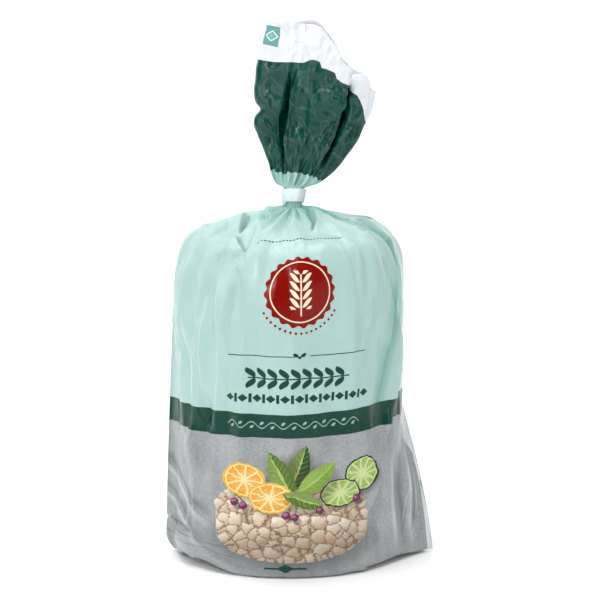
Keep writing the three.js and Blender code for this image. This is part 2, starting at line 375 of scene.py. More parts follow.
def zigzag(along, edge, width, layer):
    """Distance after folding, and the height of the layer."""
    lower = edge + width
    folded = np.where(along < edge, along, np.where(along < lower, 2 * edge - along, along - 2 * width))
    close = smooth(along, edge - width - FOLD_CLOSES, edge - width)
    layer = layer * smooth(width, 0.0, FOLD_OPENS)
    top = 2 * layer * close
    under = np.clip((lower - along) / np.maximum(width, 0.05), 0, 1) * layer
    return folded, np.where(along < edge, top, under)


def fold_sheet(flat, z, cut_right, cut_left, folded):
    """Where each column lies along the level cut at height z, and how far off it."""
    sheet, along = sheet_place(flat)
    place = along.copy()
    lift = np.zeros_like(along)
    for is_sheet, side, path in (
        (-1, 1, FRONT_RIGHT_FOLD),
        (-1, -1, FRONT_LEFT_FOLD),
        (1, 1, BACK_RIGHT_FOLD),
        (1, -1, BACK_LEFT_FOLD),
    ):
        flat_end = FLAT_RIGHT if side > 0 else FLAT_LEFT
        cut_end = cut_right if side > 0 else cut_left
        width = max(0.0, (flat_end - cut_end) / 2) if folded else 0.0
        edge = np.interp(z, *path)
        mine = (sheet == is_sheet) & (np.sign(along) == side)
        turned, layer = zigzag(abs(along[mine]), edge, width, LAYER[side])
        stretch = cut_end / (flat_end - 2 * width)
        place[mine] = side * turned * stretch
        lift[mine] = layer
    return sheet, place, lift


fold_starts = np.interp(SHOULDER_HEIGHT, *FRONT_RIGHT_FOLD)
print("at the shoulder the front right fold starts", round(fold_starts), "mm from the middle")

# %% [markdown]
# ## Wall, dome and neck
# The wall follows the level cuts. Above the shoulder the film rounds the rim of the top cake and
# climbs as a low cone, where it is gathered: the pleats are small at the rim and deep at the neck.
# Each point has a fourth value, its place along the level cut. The layers of a fold share it.

# %% Rows of the wall
PLEATS = 18
QUARTER = BODY_RADIUS * np.pi / 2  # from the middle of a sheet to its weld, round the stack


def pleat(q):
    """Uneven pleats with nearly straight sides, from -1 to 1, by the share of the way round."""
    warp = 0.011 * np.sin(FULL_TURN * 3 * q + 1) + 0.007 * np.sin(FULL_TURN * 5 * q + 4)
    size = 0.78 + 0.22 * np.sin(FULL_TURN * 4 * q + 2)
    wave = np.sin(FULL_TURN * PLEATS * (q + warp))
    return size * np.arcsin(0.95 * wave) / np.arcsin(0.95)


def wall_row(flat, z, folded):
    """One level row of the wall: x, y, z and the place along the cut."""
    radius = wall_radius(z)
    cuts = [quarter_cut(ear_reach(ear, z), radius) for ear in (RIGHT_EAR, LEFT_EAR)]
    sheet, place, lift = fold_sheet(flat, z, cuts[0][0][-1], cuts[1][0][-1], folded)
    point = np.zeros((len(flat), 4))
    for side, (distance, outline) in zip((1, -1), cuts):
        mine = (place >= 0) if side > 0 else (place < 0)
        for axis in (0, 1):
            point[mine, axis] = np.interp(abs(place[mine]), distance, outline[:, axis])
        point[mine, 0] *= side
    point[:, 1] *= sheet
    radial = point[:, :2] / np.linalg.norm(point[:, :2], axis=1, keepdims=True)
    point[:, :2] += radial * lift[:, None]
    point[:, 2] = z
    point[:, 3] = place
    return point


print("round the stack a sheet is", round(2 * QUARTER, 1), "mm wide between its welds")

# %% Rows of the dome and the neck
NECK_BOTTOM = 153.4
NECK_TOP = 160.4
NECK_X = 1.8
NECK_SLANT = 0.05
NECK_FOOT = 3.6
NECK_HEAD = 4.7
NECK_DEPTH = 4.3
BACKWARD_LEAN = 0.2
RIM_RISE = 30.0
RIM_SHARPNESS = 13
CONE_RISE = 14.0


def turn_round(flat, share, folded=True):
    """The angle of each column from the front's middle, with the folds fading to the neck."""
    sheet, place, lift = fold_sheet(flat, SHOULDER_HEIGHT, QUARTER, QUARTER, folded)
    _, along = sheet_place(flat)
    even = np.where(along > 0, along / FLAT_RIGHT, along / FLAT_LEFT) * QUARTER
    angle = blend(even, place, smooth(share, 0.35, 0.95)) / BODY_RADIUS
    return sheet, angle, lift * smooth(share, 0.3, 0.8)


def dome_row(flat, share, folded):
    """One row of the dome, where share is 1 at the shoulder and 0 at the neck."""
    across = blend(NECK_FOOT / BODY_RADIUS, 1, share)
    rim = RIM_RISE * np.sqrt(1 - across**RIM_SHARPNESS)
    height = (rim + CONE_RISE * (1 - across)) / (RIM_RISE + CONE_RISE)
    z = blend(SHOULDER_HEIGHT, NECK_BOTTOM, height)
    sheet, angle, lift = turn_round(flat, share, folded)
    width = blend(NECK_FOOT, BODY_RADIUS, share)
    depth = blend(NECK_DEPTH, BODY_RADIUS, share)
    x = NECK_X * (1 - share) + (width + lift) * np.sin(angle)
    y = sheet * (depth + lift) * np.cos(angle)
    return np.stack([x, y, np.full_like(x, z) + 0.5 * lift, angle * BODY_RADIUS], 1)


def neck_row(flat, z):
    """One row of the gathered neck, which leans back."""
    up = (z - NECK_BOTTOM) / (NECK_TOP - NECK_BOTTOM)
    sheet, angle, _ = turn_round(flat, 0)
    x = NECK_X + NECK_SLANT * (z - NECK_BOTTOM) + blend(NECK_FOOT, NECK_HEAD, up) * np.sin(angle)
    y = BACKWARD_LEAN * (z - NECK_BOTTOM) + sheet * NECK_DEPTH * np.cos(angle)
    return np.stack([x, y, np.full_like(x, z), angle * BODY_RADIUS], 1)


print("the neck is", 2 * NECK_FOOT, "mm wide at its foot and", 2 * NECK_HEAD, "at its head")

# %% [markdown]
# ## Stacking the rows
# The rows are stacked from the middle of the base up to the neck. They lie closer together at the
# foot and at the rim, where the film bends most. A Subdivision modifier would spread its faces
# evenly, and would need many more of them for the same bends.

# %% Stack the rows
BASE_RINGS = [0.02, 0.35, 0.65, 0.85, 0.95]
FOOT_HEIGHTS = [0, 0.4, 0.9]
WALL_FROM = 1.4
WALL_ROWS = 100
DOME_ROWS = 104
DOME_CROWDING = 0.8  # below 1 the rows lie closer together at the rim
NECK_HIDDEN = 157.0  # mm: the body's film ends here, inside the tape
NECK_ROWS = 4

body_flat = film_columns(0.57)


def body_rows(folded=True):
    """All rows from the middle of the base up to the neck."""
    even_heights = np.linspace(WALL_FROM, SHOULDER_HEIGHT, WALL_ROWS - len(FOOT_HEIGHTS))
    wall_heights = np.concatenate([FOOT_HEIGHTS, even_heights])
    rows = [wall_row(body_flat, z, folded) for z in wall_heights]
    base = [rows[0] * [ring, ring, 1, 1] for ring in BASE_RINGS]
    shares = (1 - np.arange(1, DOME_ROWS + 1) / DOME_ROWS) ** DOME_CROWDING
    dome = [dome_row(body_flat, share, folded) for share in shares]
    neck_heights = np.linspace(NECK_BOTTOM, NECK_HIDDEN, NECK_ROWS + 1)[1:]
    neck = [neck_row(body_flat, z) for z in neck_heights]
    return np.array(base + rows + dome + neck)


body_grid = body_rows()
body_points, body_place = body_grid[..., :3], body_grid[..., 3]
first_wall = len(BASE_RINGS)
first_dome = first_wall + WALL_ROWS
print("film of the body:", body_points.shape[:2], "points")

# %% [markdown]
# ## Where each point is on the flat film
# The print needs flat coordinates: u round the bag and v up it. On the wall v is the height. Over
# the dome it goes on growing by the distance along the film, measured down the front's middle.

# %% Flat heights
def film_heights(points, start_row):
    """Distance up the front's middle line of film, set to the shoulder's height at one row."""
    middle = np.argmin(abs(body_flat))
    line = points[:, middle]
    steps = np.linalg.norm(np.diff(line, axis=0), axis=1)
    height = np.concatenate([[0], np.cumsum(steps)])
    return height - height[start_row] + SHOULDER_HEIGHT


body_v = film_heights(body_points, first_dome - 1)
FILM_AT_NECK = body_v[first_dome + DOME_ROWS - 1]
print("film length from the base to the neck", round(FILM_AT_NECK), "mm")

# %% [markdown]
# ## Making a mesh from rows
# The rows join into one closed skin. `foreach_set` writes whole arrays at once, which is many
# times quicker than adding vertices one by one with bmesh. The flat coordinates go on the corners
# of faces and not on the vertices, so that the column where the loop closes can end at one value
# and start again at another.

# %% Mesh from a grid
def outward(points):
    """Unit normals of a closed grid of rows."""
    around = np.roll(points, -1, axis=1) - np.roll(points, 1, axis=1)
    upward = np.gradient(points, axis=0)
    normal = np.cross(around, upward)
    return normal / np.maximum(np.linalg.norm(normal, axis=2, keepdims=True), 1e-9)


def at_corners(values, once_round):
    """Values of a grid at each corner of its faces. They grow by `once_round` in one turn."""
    after = np.concatenate([values[:, 1:], values[:, :1] + once_round], axis=1)
    quads = np.stack([values[:-1], after[:-1], after[1:], values[1:]], -1)
    low_fan = np.stack([values[0], after[0], values[0]], -1)
    high_fan = np.stack([values[-1], values[-1], after[-1]], -1)
    return np.concatenate([quads.ravel(), low_fan.ravel(), high_fan.ravel()])


def add_object(name, mesh):
    thing = bpy.data.objects.new(name, mesh)
    bpy.context.scene.collection.objects.link(thing)
    return thing


def grid_mesh(name, points, flat_u, flat_v):
    """Closed skin from rows of points (mm). flat_u and flat_v are per point."""
    rows, columns = points.shape[:2]
    index = np.arange(rows * columns).reshape(rows, columns)
    right = np.roll(index, -1, axis=1)
    quads = np.stack([index[:-1], right[:-1], right[1:], index[1:]], -1).reshape(-1, 4)
    low, high = rows * columns, rows * columns + 1
    centres = np.array([points[0].mean(0), points[-1].mean(0)])
    low_fan = np.stack([np.full(columns, low), right[0], index[0]], -1)
    high_fan = np.stack([np.full(columns, high), index[-1], right[-1]], -1)
    corners = np.concatenate([quads.ravel(), low_fan.ravel(), high_fan.ravel()])
    sizes = np.concatenate([np.full(len(quads), 4), np.full(2 * columns, 3)])
    mesh = bpy.data.meshes.new(name)
    coordinates = np.concatenate([points.reshape(-1, 3), centres]) * MM
    mesh.vertices.add(len(coordinates))
    mesh.vertices.foreach_set("co", coordinates.ravel())
    mesh.loops.add(len(corners))
    mesh.loops.foreach_set("vertex_index", corners)
    mesh.polygons.add(len(sizes))
    mesh.polygons.foreach_set("loop_start", np.concatenate([[0], np.cumsum(sizes)[:-1]]))
    mesh.update(calc_edges=True)
    film_map = mesh.uv_layers.new(name="flat_film")
    flat = np.stack([at_corners(flat_u, GIRTH), at_corners(flat_v, 0)], 1)
    film_map.data.foreach_set("uv", flat.ravel())
    mesh.shade_smooth()
    mesh.validate()
    return add_object(name, mesh)


print("once round the bag is", round(GIRTH, 1), "mm of film")

# %% [markdown]
# ## How film creases
# Film hardly stretches, so it can't bulge like cloth: it stays flat between straight creases. A
# net of triangles over random points has just this look. Each corner of the net gets a random
# height, and the heights are read off the flat triangles between them. Blender's own Delaunay
# routine joins the points. The net repeats, so it meets itself without a seam at the back.

# %% Nets of creases
NET_SIZE = GIRTH / 2
NET_GRAIN = 0.5  # mm between the stored heights
CORNER_STRAY = 0.4  # share of a cell by which a corner leaves the cell's middle
SAME_POINT = 1e-6


def crease_net(seed, spacing):
    """Heights of a repeating net of flat triangles, from -1 to 1, on a fine square grid."""
    draw = np.random.default_rng(seed)
    count = round(NET_SIZE / spacing)
    step = NET_SIZE / count
    cell = np.stack(np.meshgrid(np.arange(count), np.arange(count)), -1).reshape(-1, 2)
    corner = (cell + 0.5 + draw.uniform(-CORNER_STRAY, CORNER_STRAY, cell.shape)) * step
    height = draw.uniform(-1, 1, len(corner))
    tiles = [np.array([i, j]) * NET_SIZE for i in (-1, 0, 1) for j in (-1, 0, 1)]
    corner = np.concatenate([corner + tile for tile in tiles])
    height = np.tile(height, len(tiles))
    near = ((corner > -2 * step) & (corner < NET_SIZE + 2 * step)).all(axis=1)
    joined = delaunay_2d_cdt([Vector(p) for p in corner[near]], [], [], 0, SAME_POINT)
    corner = np.array(joined[0])
    height = height[near][[origin[0] for origin in joined[3]]]
    grain_count = round(NET_SIZE / NET_GRAIN)
    grain = NET_SIZE / grain_count
    grid = np.zeros((grain_count, grain_count))
    for triangle in joined[2]:
        p, q, r = corner[triangle]
        low = np.clip(np.ceil(np.min([p, q, r], 0) / grain), 0, grain_count).astype(int)
        high = np.clip(np.floor(np.max([p, q, r], 0) / grain) + 1, 0, grain_count).astype(int)
        x, y = np.meshgrid(np.arange(low[0], high[0]) * grain, np.arange(low[1], high[1]) * grain)
        area = np.cross(q - p, r - p)
        at_q = ((x - p[0]) * (r - p)[1] - (y - p[1]) * (r - p)[0]) / area
        at_r = ((y - p[1]) * (q - p)[0] - (x - p[0]) * (q - p)[1]) / area
        inside = (at_q >= 0) & (at_r >= 0) & (at_q + at_r <= 1)
        value = height[triangle[0]] * (1 - at_q - at_r)
        value = value + height[triangle[1]] * at_q + height[triangle[2]] * at_r
        patch = grid[low[1] : high[1], low[0] : high[0]]
        patch[inside] = value[inside]
    return grid


def read_net(net, x, y):
    """Heights of a net at places in mm, blended between its stored heights."""
    count = len(net)
    x, y = np.broadcast_arrays(x / NET_SIZE * count, y / NET_SIZE * count)
    column, row = np.floor(x).astype(int), np.floor(y).astype(int)
    right, up = x - column, y - row
    lower = blend(net[row % count, column % count], net[row % count, (column + 1) % count], right)
    row = row + 1
    upper = blend(net[row % count, column % count], net[row % count, (column + 1) % count], right)
    return blend(lower, upper, up)


def folds(seed, places, pitch, count, slope=0.16):
    """Straight creases that cross: a sum of triangle waves in random directions."""
    draw = np.random.default_rng(seed)
    total = 0
    for turn in range(count):
        angle, length = np.pi * (turn + draw.uniform()) / count, draw.uniform(*pitch)
        t = (places[..., 0] * np.cos(angle) + places[..., 1] * np.sin(angle)) / length
        drift = 0.25 * np.sin(t * draw.uniform(0.5, 1.5) + draw.uniform(0, 6))
        total = total + slope * length * (0.5 - 2 * abs((t + drift + draw.uniform()) % 1 - 0.5))
    return total / np.sqrt(count)


BROAD_NET = crease_net(3, 20)
MIDDLE_NET = crease_net(5, 9)
FINE_NET = crease_net(8, 4)
print("nets of creases:", [net.shape for net in (BROAD_NET, MIDDLE_NET, FINE_NET)])

# %% [markdown]
# ## Creases, waves and folds of the body
# The film hangs nearly straight, so its surface moves in and out by a few millimetres at most,
# in long upright waves. Over them lie a few folds that anyone would notice. Each is a path with a
# cross-section: a ridge is raised evenly to both sides, and a tuck rises gently from one side
# and drops off sharply on the other, where the film turns under itself. Folds of the wall are
# given by their place along the level cut and their height, folds of the dome as seen from above.

# %% Folds along a path
FADE = 0.25  # share of a fold's length over which each of its ends fades


def path_distance(places, path):
    """Signed distance to a polyline (positive to its right) and the share of its length."""
    path = np.array(path, float)
    lengths = np.linalg.norm(np.diff(path, axis=0), axis=1)
    best = np.full(places.shape[:-1], np.inf)
    signed = np.zeros_like(best)
    along = np.zeros_like(best)
    done = 0.0
    for start, end, length in zip(path[:-1], path[1:], lengths):
        direction = (end - start) / length
        right = np.array([direction[1], -direction[0]])
        relative = places - start
        t = relative @ direction
        away = relative - np.clip(t, 0, length)[..., None] * direction
        distance = np.linalg.norm(away, axis=-1)
        closer = distance < best
        best = np.where(closer, distance, best)
        signed = np.where(closer, np.where(relative @ right >= 0, distance, -distance), signed)
        along = np.where(closer, (done + t) / lengths.sum(), along)
        done += length
    return signed, along


def fade_ends(along, tail):
    return smooth(along, -0.02, tail) * (1 - smooth(along, 1 - tail, 1.02))


def ridge(places, path, height, width, tail=FADE):
    """A raised line, or a valley where height is below zero."""
    signed, along = path_distance(places, path)
    return height * fade_ends(along, tail) * np.exp(-(abs(signed / width) ** 1.3))


def tuck(places, path, height, reach, side):
    """A step that is raised on one side: 1 on the right of its path, -1 on the left."""
    signed, along = path_distance(places, path)
    over = side * signed
    raised = smooth(over, -0.35, 0.35) * np.exp(-((np.maximum(over, 0) / reach) ** 1.2))
    crevice = 0.8 * bell(over, -0.8, 0.6) + 0.25 * bell(over, -1.6, 2.0)
    return height * fade_ends(along, FADE) * (raised - crevice)


print("3 mm right of a path, half way:", *path_distance(np.array([[3, 5]]), [(0, 0), (0, 10)]))

# %% [markdown]
# ## Waves and pleats
# The relief is a distance in or out from the smooth film, worked out for all points at once. A
# Displace modifier with a texture could do this too, but it couldn't follow the film into the
# folds. Hidden layers take the direction of the unfolded film at the same place, so all the
# layers of a fold move together and don't cut into each other.

# %% Waves of the wall and pleats of the dome
rows_and_columns = body_points.shape[:2]
body_u = np.broadcast_to(body_flat, rows_and_columns)
body_height = np.broadcast_to(body_v[:, None], rows_and_columns)
body_sheet, body_along = sheet_place(body_flat)
hung = np.where(body_sheet < 0, body_place, 2 * QUARTER - body_place)
body_around = hung / (4 * QUARTER)
from_weld = np.where(body_along > 0, FLAT_RIGHT - body_along, FLAT_LEFT + body_along)
off_weld = smooth(from_weld, 1, 12)[None, :]


def wall_relief(around, flat, height):
    """Upright waves, flats and small creases, looser at the left of the front."""
    hang = smooth(height, 3, 30)
    even = 0.6 * np.sin(FULL_TURN * 13 * around) + 0.4 * np.sin(FULL_TURN * 7 * around + 2.1)
    slow = 0.4 * waves(3, around, height, (3, 12), (90, 400))
    flats = 1.7 * read_net(BROAD_NET, flat, 0.65 * height)
    small = 0.8 * read_net(MIDDLE_NET, flat + 0.3 * height, 0.7 * height)
    small = small + 0.35 * read_net(FINE_NET, 0.9 * flat, 0.2 * height)
    drapes = folds(21, np.stack([flat, 0.3 * height], -1), (9, 26), 4, 0.09)
    looser = 1 + smooth(-flat, -5, 25) * (1 - smooth(-flat, 46, 66))
    return hang * (0.15 * even + slow + (flats + small + drapes) * looser)


def normals_by_place():
    """Normals of the same rows without folds, read at each point's place along the cut."""
    plain = body_rows(folded=False)
    plain_normal = outward(plain[..., :3])
    normal = np.empty_like(plain_normal)
    for sheet in (-1, 1):
        mine = body_sheet == sheet
        for row in range(len(plain)):
            order = np.argsort(plain[row, mine, 3])
            known = plain[row, mine, 3][order]
            for axis in range(3):
                values = plain_normal[row, mine, axis][order]
                normal[row, mine, axis] = np.interp(body_place[row, mine], known, values)
    return normal / np.linalg.norm(normal, axis=2, keepdims=True)


def gather(around, climb):
    """Pleats of the dome, deeper and finer towards the neck."""
    soft = 1.1 * pleat(around) * smooth(climb, 0.45, 0.9)
    fine = 0.4 * np.sin(FULL_TURN * 41 * around + 3 * np.sin(FULL_TURN * 3 * around))
    return soft + fine * smooth(climb, 0.8, 0.97)


climb = np.clip((body_height - SHOULDER_HEIGHT) / (FILM_AT_NECK - SHOULDER_HEIGHT), 0, 1)
on_neck = smooth(climb, 0.92, 1.0)
plan = body_points[..., :2]
relief = wall_relief(body_around, hung, body_height) * (1 - smooth(climb, 0.5, 0.9)) * off_weld
relief = relief + gather(body_around, climb) * (1 - 0.75 * on_neck)
dome_flats = 1.4 * read_net(BROAD_NET, plan[..., 0], plan[..., 1])
dome_flats = dome_flats + 0.2 * read_net(MIDDLE_NET, plan[..., 0], plan[..., 1])
dome_flats = dome_flats + folds(22, plan, (16, 28), 3, 0.05)
relief = relief + dome_flats * smooth(climb, 0.2, 0.45) * (1 - smooth(climb, 0.85, 0.98))
print("waves and pleats from", relief.min().round(1), "to", relief.max().round(1), "mm")

# %% [markdown]
# ## The folds that anyone would notice
# On the wall there is the sharp line where the film turns off the stack towards the right ear,
# and at the lower left the line where the stack's foot presses into the loose corner. On the
# dome there is a folded step on each shoulder and a few short tucks towards the neck.

# %% Named folds
FOOT_CREASE = [(-81, 16), (-62, 15), (-53, 13.4), (-46, 10.8), (-39.5, 7.2), (-27, 4.4), (-15, 1.5)]
RIGHT_CREST = [(20, 4), (24.4, -6), (28.8, -21), (31.4, -24), (34.1, -15), (33.8, -8)]
MIDDLE_STEP = [(6.5, 0), (8.6, -5), (10.6, -13), (11.4, -20), (10.4, -28)]
RIGHT_STEP = [(26, 4), (34, -3), (38, -8), (41.5, -11), (44.5, -11.5), (47, -10)]
WALL_RIDGES = (  # paths by the place along the level cut and the height
    {"path": [(65, 130), (57, 119), (50, 104), (44, 74)], "height": 1.3, "width": 2.2},
    {"path": [(65, 121), (59, 108), (55, 92), (52, 80)], "height": -1.4, "width": 3.5},
    {"path": FOOT_CREASE, "height": -2.4, "width": 1.1, "tail": 0.12},
    {"path": [(-72, 9), (-56, 7), (-45, 4)], "height": 2.0, "width": 5.0},
    {"path": [(-72, 112), (-61, 96), (-51, 74)], "height": 0.8, "width": 1.3},
    {"path": [(-69, 104), (-58, 90), (-52, 76)], "height": -0.9, "width": 3.0},
    {"path": [(-28, 142), (-24, 132), (-20, 123), (-17, 112), (-16, 103)], "height": 1.0, "width": 2.4},
    {"path": [(-36, 138), (-37, 127), (-31, 118), (-25, 110)], "height": 0.8, "width": 2.0},
    {"path": [(-46, 126), (-43, 104), (-38, 88)], "height": 0.7, "width": 2.2},
    {"path": [(53, 128), (49, 118), (43, 103), (39, 84)], "height": 0.8, "width": 1.7},
    {"path": [(49, 126), (45, 115), (39, 101), (35, 86)], "height": -0.8, "width": 2.0},
    {"path": [(44, 130), (40, 116), (35, 101), (31, 86)], "height": 0.7, "width": 1.7},
    {"path": [(46, 146), (52, 134), (56, 124)], "height": -0.9, "width": 1.6},
)
DOME_RIDGES = (  # paths by x and y, as seen from above
    {"path": RIGHT_CREST, "height": 0.7, "width": 0.7},
    {"path": [(-33.6, -5), (-34.2, -10), (-34.9, -16)], "height": -0.9, "width": 0.8},
    {"path": [(-20, -36), (-27, -35), (-33, -31)], "height": -1.4, "width": 3.5},
    {"path": [(-26, 2), (-29, -8), (-31, -16)], "height": 0.6, "width": 0.8},
    {"path": [(-23, 0), (-26, -10), (-28.5, -20)], "height": 0.5, "width": 0.8},
    {"path": [(-12, -4), (-13, -18), (-10, -32)], "height": 0.8, "width": 2.4},
    {"path": [(2, -8), (0, -24), (-2, -38)], "height": 0.7, "width": 2.6},
    {"path": [(14, -8), (19, -19), (20, -30)], "height": 0.7, "width": 1.8},
)
DOME_TUCKS = (
    {"path": [(-17, 2), (-18.5, -8), (-20.5, -15), (-22, -22)], "height": 2.6, "reach": 9.0, "side": 1},
    {"path": [(-22.6, -23), (-21.8, -28), (-19.8, -35)], "height": 2.0, "reach": 6.0, "side": 1},
    {"path": [(-35.8, 0), (-36.4, -6), (-37.4, -16)], "height": 0.9, "reach": 5.0, "side": -1},
    {"path": [(-9.5, -5), (-9, -10), (-8, -16)], "height": 1.6, "reach": 5.0, "side": -1},
    {"path": MIDDLE_STEP, "height": 2.6, "reach": 8.0, "side": -1},
    {"path": RIGHT_STEP, "height": 2.2, "reach": 5.0, "side": -1},
    {"path": [(14, 34), (24, 30), (33, 22)], "height": 2.2, "reach": 6.0, "side": 1},
    {"path": [(-20, 34), (-13, 26), (-7, 14)], "height": 2.2, "reach": 6.0, "side": -1},
)

on_wall = 1 - smooth(climb, 0.5, 0.75)
hung_places = np.stack([hung, body_height], -1)
for fold in WALL_RIDGES:
    relief = relief + ridge(hung_places, **fold) * on_wall
on_dome = smooth(climb, 0.12, 0.3)
for fold in DOME_RIDGES:
    relief = relief + ridge(plan, **fold) * on_dome
for fold in DOME_TUCKS:
    relief = relief + tuck(plan, **fold) * on_dome
relief[:first_wall] = 0
print("relief of the body", relief.min().round(1), "to", relief.max().round(1), "mm")

# %% [markdown]
# ## The loose corners
# Out in the ears the two sheets lie on each other, so what bends one bends both. Their creases
# are therefore one shift forwards or back for both sheets, and not a relief of each. The sheets
# are welded at the foot too, so the bag's lower edge is drawn up where it leaves the stack.

# %% Ears and lower edge
EAR_FROM, EAR_TO = 44.0, 56.0
FOOT_LIFT = {"right": 1.4, "left": 3.4}
EAR_CREASES = (  # paths seen from the front, as x and height
    {"path": [(52.8, 40), (51.5, 26), (48.6, 9)], "height": -1.7, "width": 1.0},
    {"path": [(55.6, 36), (55.4, 16), (52.8, 7)], "height": -1.6, "width": 0.9},
    {"path": [(50.5, 30), (55, 14), (60.5, 9)], "height": 1.2, "width": 1.2},
    {"path": [(47, 8), (54, 12), (61, 17)], "height": -1.4, "width": 1.2},
    {"path": [(-50.6, 19), (-48.8, 14.5), (-47.5, 9)], "height": -1.0, "width": 0.8},
)


def ear_sway(x, z):
    """How far both sheets of an ear are shifted forwards or back."""
    out = np.clip((abs(x) - EAR_FROM) / (EAR_TO - EAR_FROM), 0, 1) ** 1.5
    bend = 0.7 * np.sin(z / 11 + np.sign(x)) + 2.8 * read_net(BROAD_NET, 0.8 * x, 0.5 * z)
    bend = bend + 1.9 * read_net(MIDDLE_NET, 1.3 * x, 0.45 * z) + 0.6 * read_net(FINE_NET, x, 0.4 * z)
    seen = np.stack(np.broadcast_arrays(x, z), -1)
    crease_light_and_shade = sum(ridge(seen, **crease) for crease in EAR_CREASES)
    return (bend * out + crease_light_and_shade * smooth(abs(x), EAR_FROM, 50)) * smooth(z, 0, 8)


def foot_lift(x, y, z):
    """The lower edge leaves the floor between the stack's foot and each ear."""
    turn = np.degrees(np.arctan2(abs(x), -y))
    side = smooth(turn, 24, 52) * (1 - smooth(turn, 70, 86))
    radius = np.hypot(x, y)
    most = np.where(x > 0, FOOT_LIFT["right"], FOOT_LIFT["left"])
    return most * side * smooth(radius, 30, 49) * (1 - smooth(z, 2, 14))


body_shape = body_points + relief[..., None] * normals_by_place()
body_shape[..., 1] += ear_sway(body_shape[..., 0], body_shape[..., 2])
body_shape[..., 2] += foot_lift(body_points[..., 0], body_points[..., 1], body_points[..., 2])
print("over its ears the bag is", np.ptp(body_shape[..., 0]).round(1), "mm wide")

# %% [markdown]
# ## Where the print lies on the body
# On a filled bag the print isn't level all round: the welds are drawn up aslant, so the parts
# beside the long folds show a higher piece of the film than the front, and the dark band steps
# at each fold. The step is taken off the flat height and leaves the shape of the film alone.

# %% Film of the body
BAND_STEP = {"right": 3.0, "left": (-0.4, -2.2)}  # mm; the left one changes from fold to weld
BAND_SLOPE = {"right": -1.0, "left": -1.1}  # mm on the front, reached at each fold


def print_drift(flat, z):
    """How far the print lies above its level place, sheet by sheet."""
    sheet, along = sheet_place(flat)
    size = smooth(z, 5, 55) * (1 - 0.5 * smooth(z, 80, 120))
    right_edge = np.interp(z, *FRONT_RIGHT_FOLD)
    left_edge = np.interp(z, *FRONT_LEFT_FOLD)
    drift = np.where(along > right_edge + 2, BAND_STEP["right"], 0.0)
    beyond = np.clip((-along - left_edge) / (FLAT_LEFT - left_edge), 0, 1)
    at_left = blend(*BAND_STEP["left"], beyond)
    drift = drift + np.where(-along > left_edge + 1, at_left, 0)
    slope = BAND_SLOPE["right"] * smooth(along, 10, 50) * (along < right_edge + 2)
    slope = slope - BAND_SLOPE["left"] * smooth(-along, 22, 50) * (-along < left_edge + 1)
    return size * (drift - slope)


body_drift = np.array([print_drift(body_flat, height) for height in body_v])
body = grid_mesh("film_body", body_shape, body_u, body_height - body_drift)
print("body film:", len(body.data.polygons), "faces")

# %% [markdown]
# ## The fan above the tape
# Above the tape the whole girth of the bag is squeezed into a fan barely 50 mm wide, so most of
# the film is hidden in deep valleys between a few broad lobes. Where a lobe overhangs a valley,
# the film runs backwards for a moment, just as a fold does. The nets of creases go on top, with
# the fine one only where the film was crushed by the hand that twisted it.

# %% Outline of the fan
FAN_HEIGHT = 70.0
FAN_FROM = 0.2  # mm above the neck
FAN_LEFT = {"start": 1.0, "spread": 12.3, "within": 16, "turns_back": 5}
FAN_RIGHT = {"start": 1.6, "spread": 33.5, "within": 19.5}
LEFT_LEAF = {"at": 26.5, "out": 1.5, "notch": 33.0, "in": 1.8}
FAN_DROP = {"from": 9, "to": 30, "by": 21.5, "tip": 8}
FAN_TIPS = {"left": -10, "right": 38}


def fan_edges(height):
    neck_x = NECK_X + NECK_SLANT * (NECK_TOP - NECK_BOTTOM)
    left = neck_x - NECK_HEAD - FAN_LEFT["start"]
    left = left - FAN_LEFT["spread"] * (1 - np.exp(-height / FAN_LEFT["within"]))
    left = left + FAN_LEFT["turns_back"] * smooth(height, 40, FAN_HEIGHT)
    right = neck_x + NECK_HEAD + FAN_RIGHT["start"]
    right = right + FAN_RIGHT["spread"] * (1 - np.exp(-height / FAN_RIGHT["within"]))
    return left, right


def left_leaf(across, height):
    """The left edge swells in a leaf and is notched above it, and only there."""
    leaf_shape = -LEFT_LEAF["out"] * bell(height, LEFT_LEAF["at"], 5)
    leaf_shape = leaf_shape + LEFT_LEAF["in"] * bell(height, LEFT_LEAF["notch"], 1.8)
    return leaf_shape * (1 - smooth(across, 0, 0.16))


def mouth_height(x):
    """Height of the cut edge, which drops towards the right."""
    drop = FAN_DROP["by"] * smooth(x, FAN_DROP["from"], FAN_DROP["to"])
    tip = FAN_DROP["tip"] * smooth(x, FAN_DROP["to"], FAN_TIPS["right"])
    return FAN_HEIGHT - drop - tip


print("half way up, the fan's edges are at x =", *(edge.round(1) for edge in fan_edges(35.0)))

# %% [markdown]
# ## The fan's two sheets
# Seen from above the fan is a thin lens, with one sheet to the front and one to the back. At a
# valley the film steps inwards, and also sideways, so that the lobe beside it overhangs. Each row
# of the grid takes the same share of every column's height, so the rows follow the cut edge.

# %% Sheets of the fan
FAN_HALF_DEPTH = 10.5
THINNEST = 0.15  # mm that is always left between a sheet and the fan's middle
FRONT_VALLEYS = (
    {"low": 0.24, "high": 0.31, "width": 0.032, "depth": 8.0, "overhang": 3.0},
    {"low": 0.72, "high": 0.76, "width": 0.036, "depth": 6.5, "overhang": -3.0},
)
BACK_VALLEYS = (
    {"low": 0.33, "high": 0.30, "width": 0.05, "depth": 6.5, "overhang": 3.2},
    {"low": 0.66, "high": 0.70, "width": 0.05, "depth": 6.0, "overhang": -3.2},
)


def valley_shape(across, up, valley):
    """How far the film steps sideways and inwards at one valley."""
    t = (across - blend(valley["low"], valley["high"], up)) / valley["width"]
    tilt = np.sign(valley["overhang"])
    sideways = -valley["overhang"] * tilt * t * np.exp(-(t**2) / 1.6)
    inwards = valley["depth"] * bell(t, -0.6 * tilt, 0.85) - 1.4 * bell(t, 0.9 * tilt, 0.6)
    return sideways, inwards


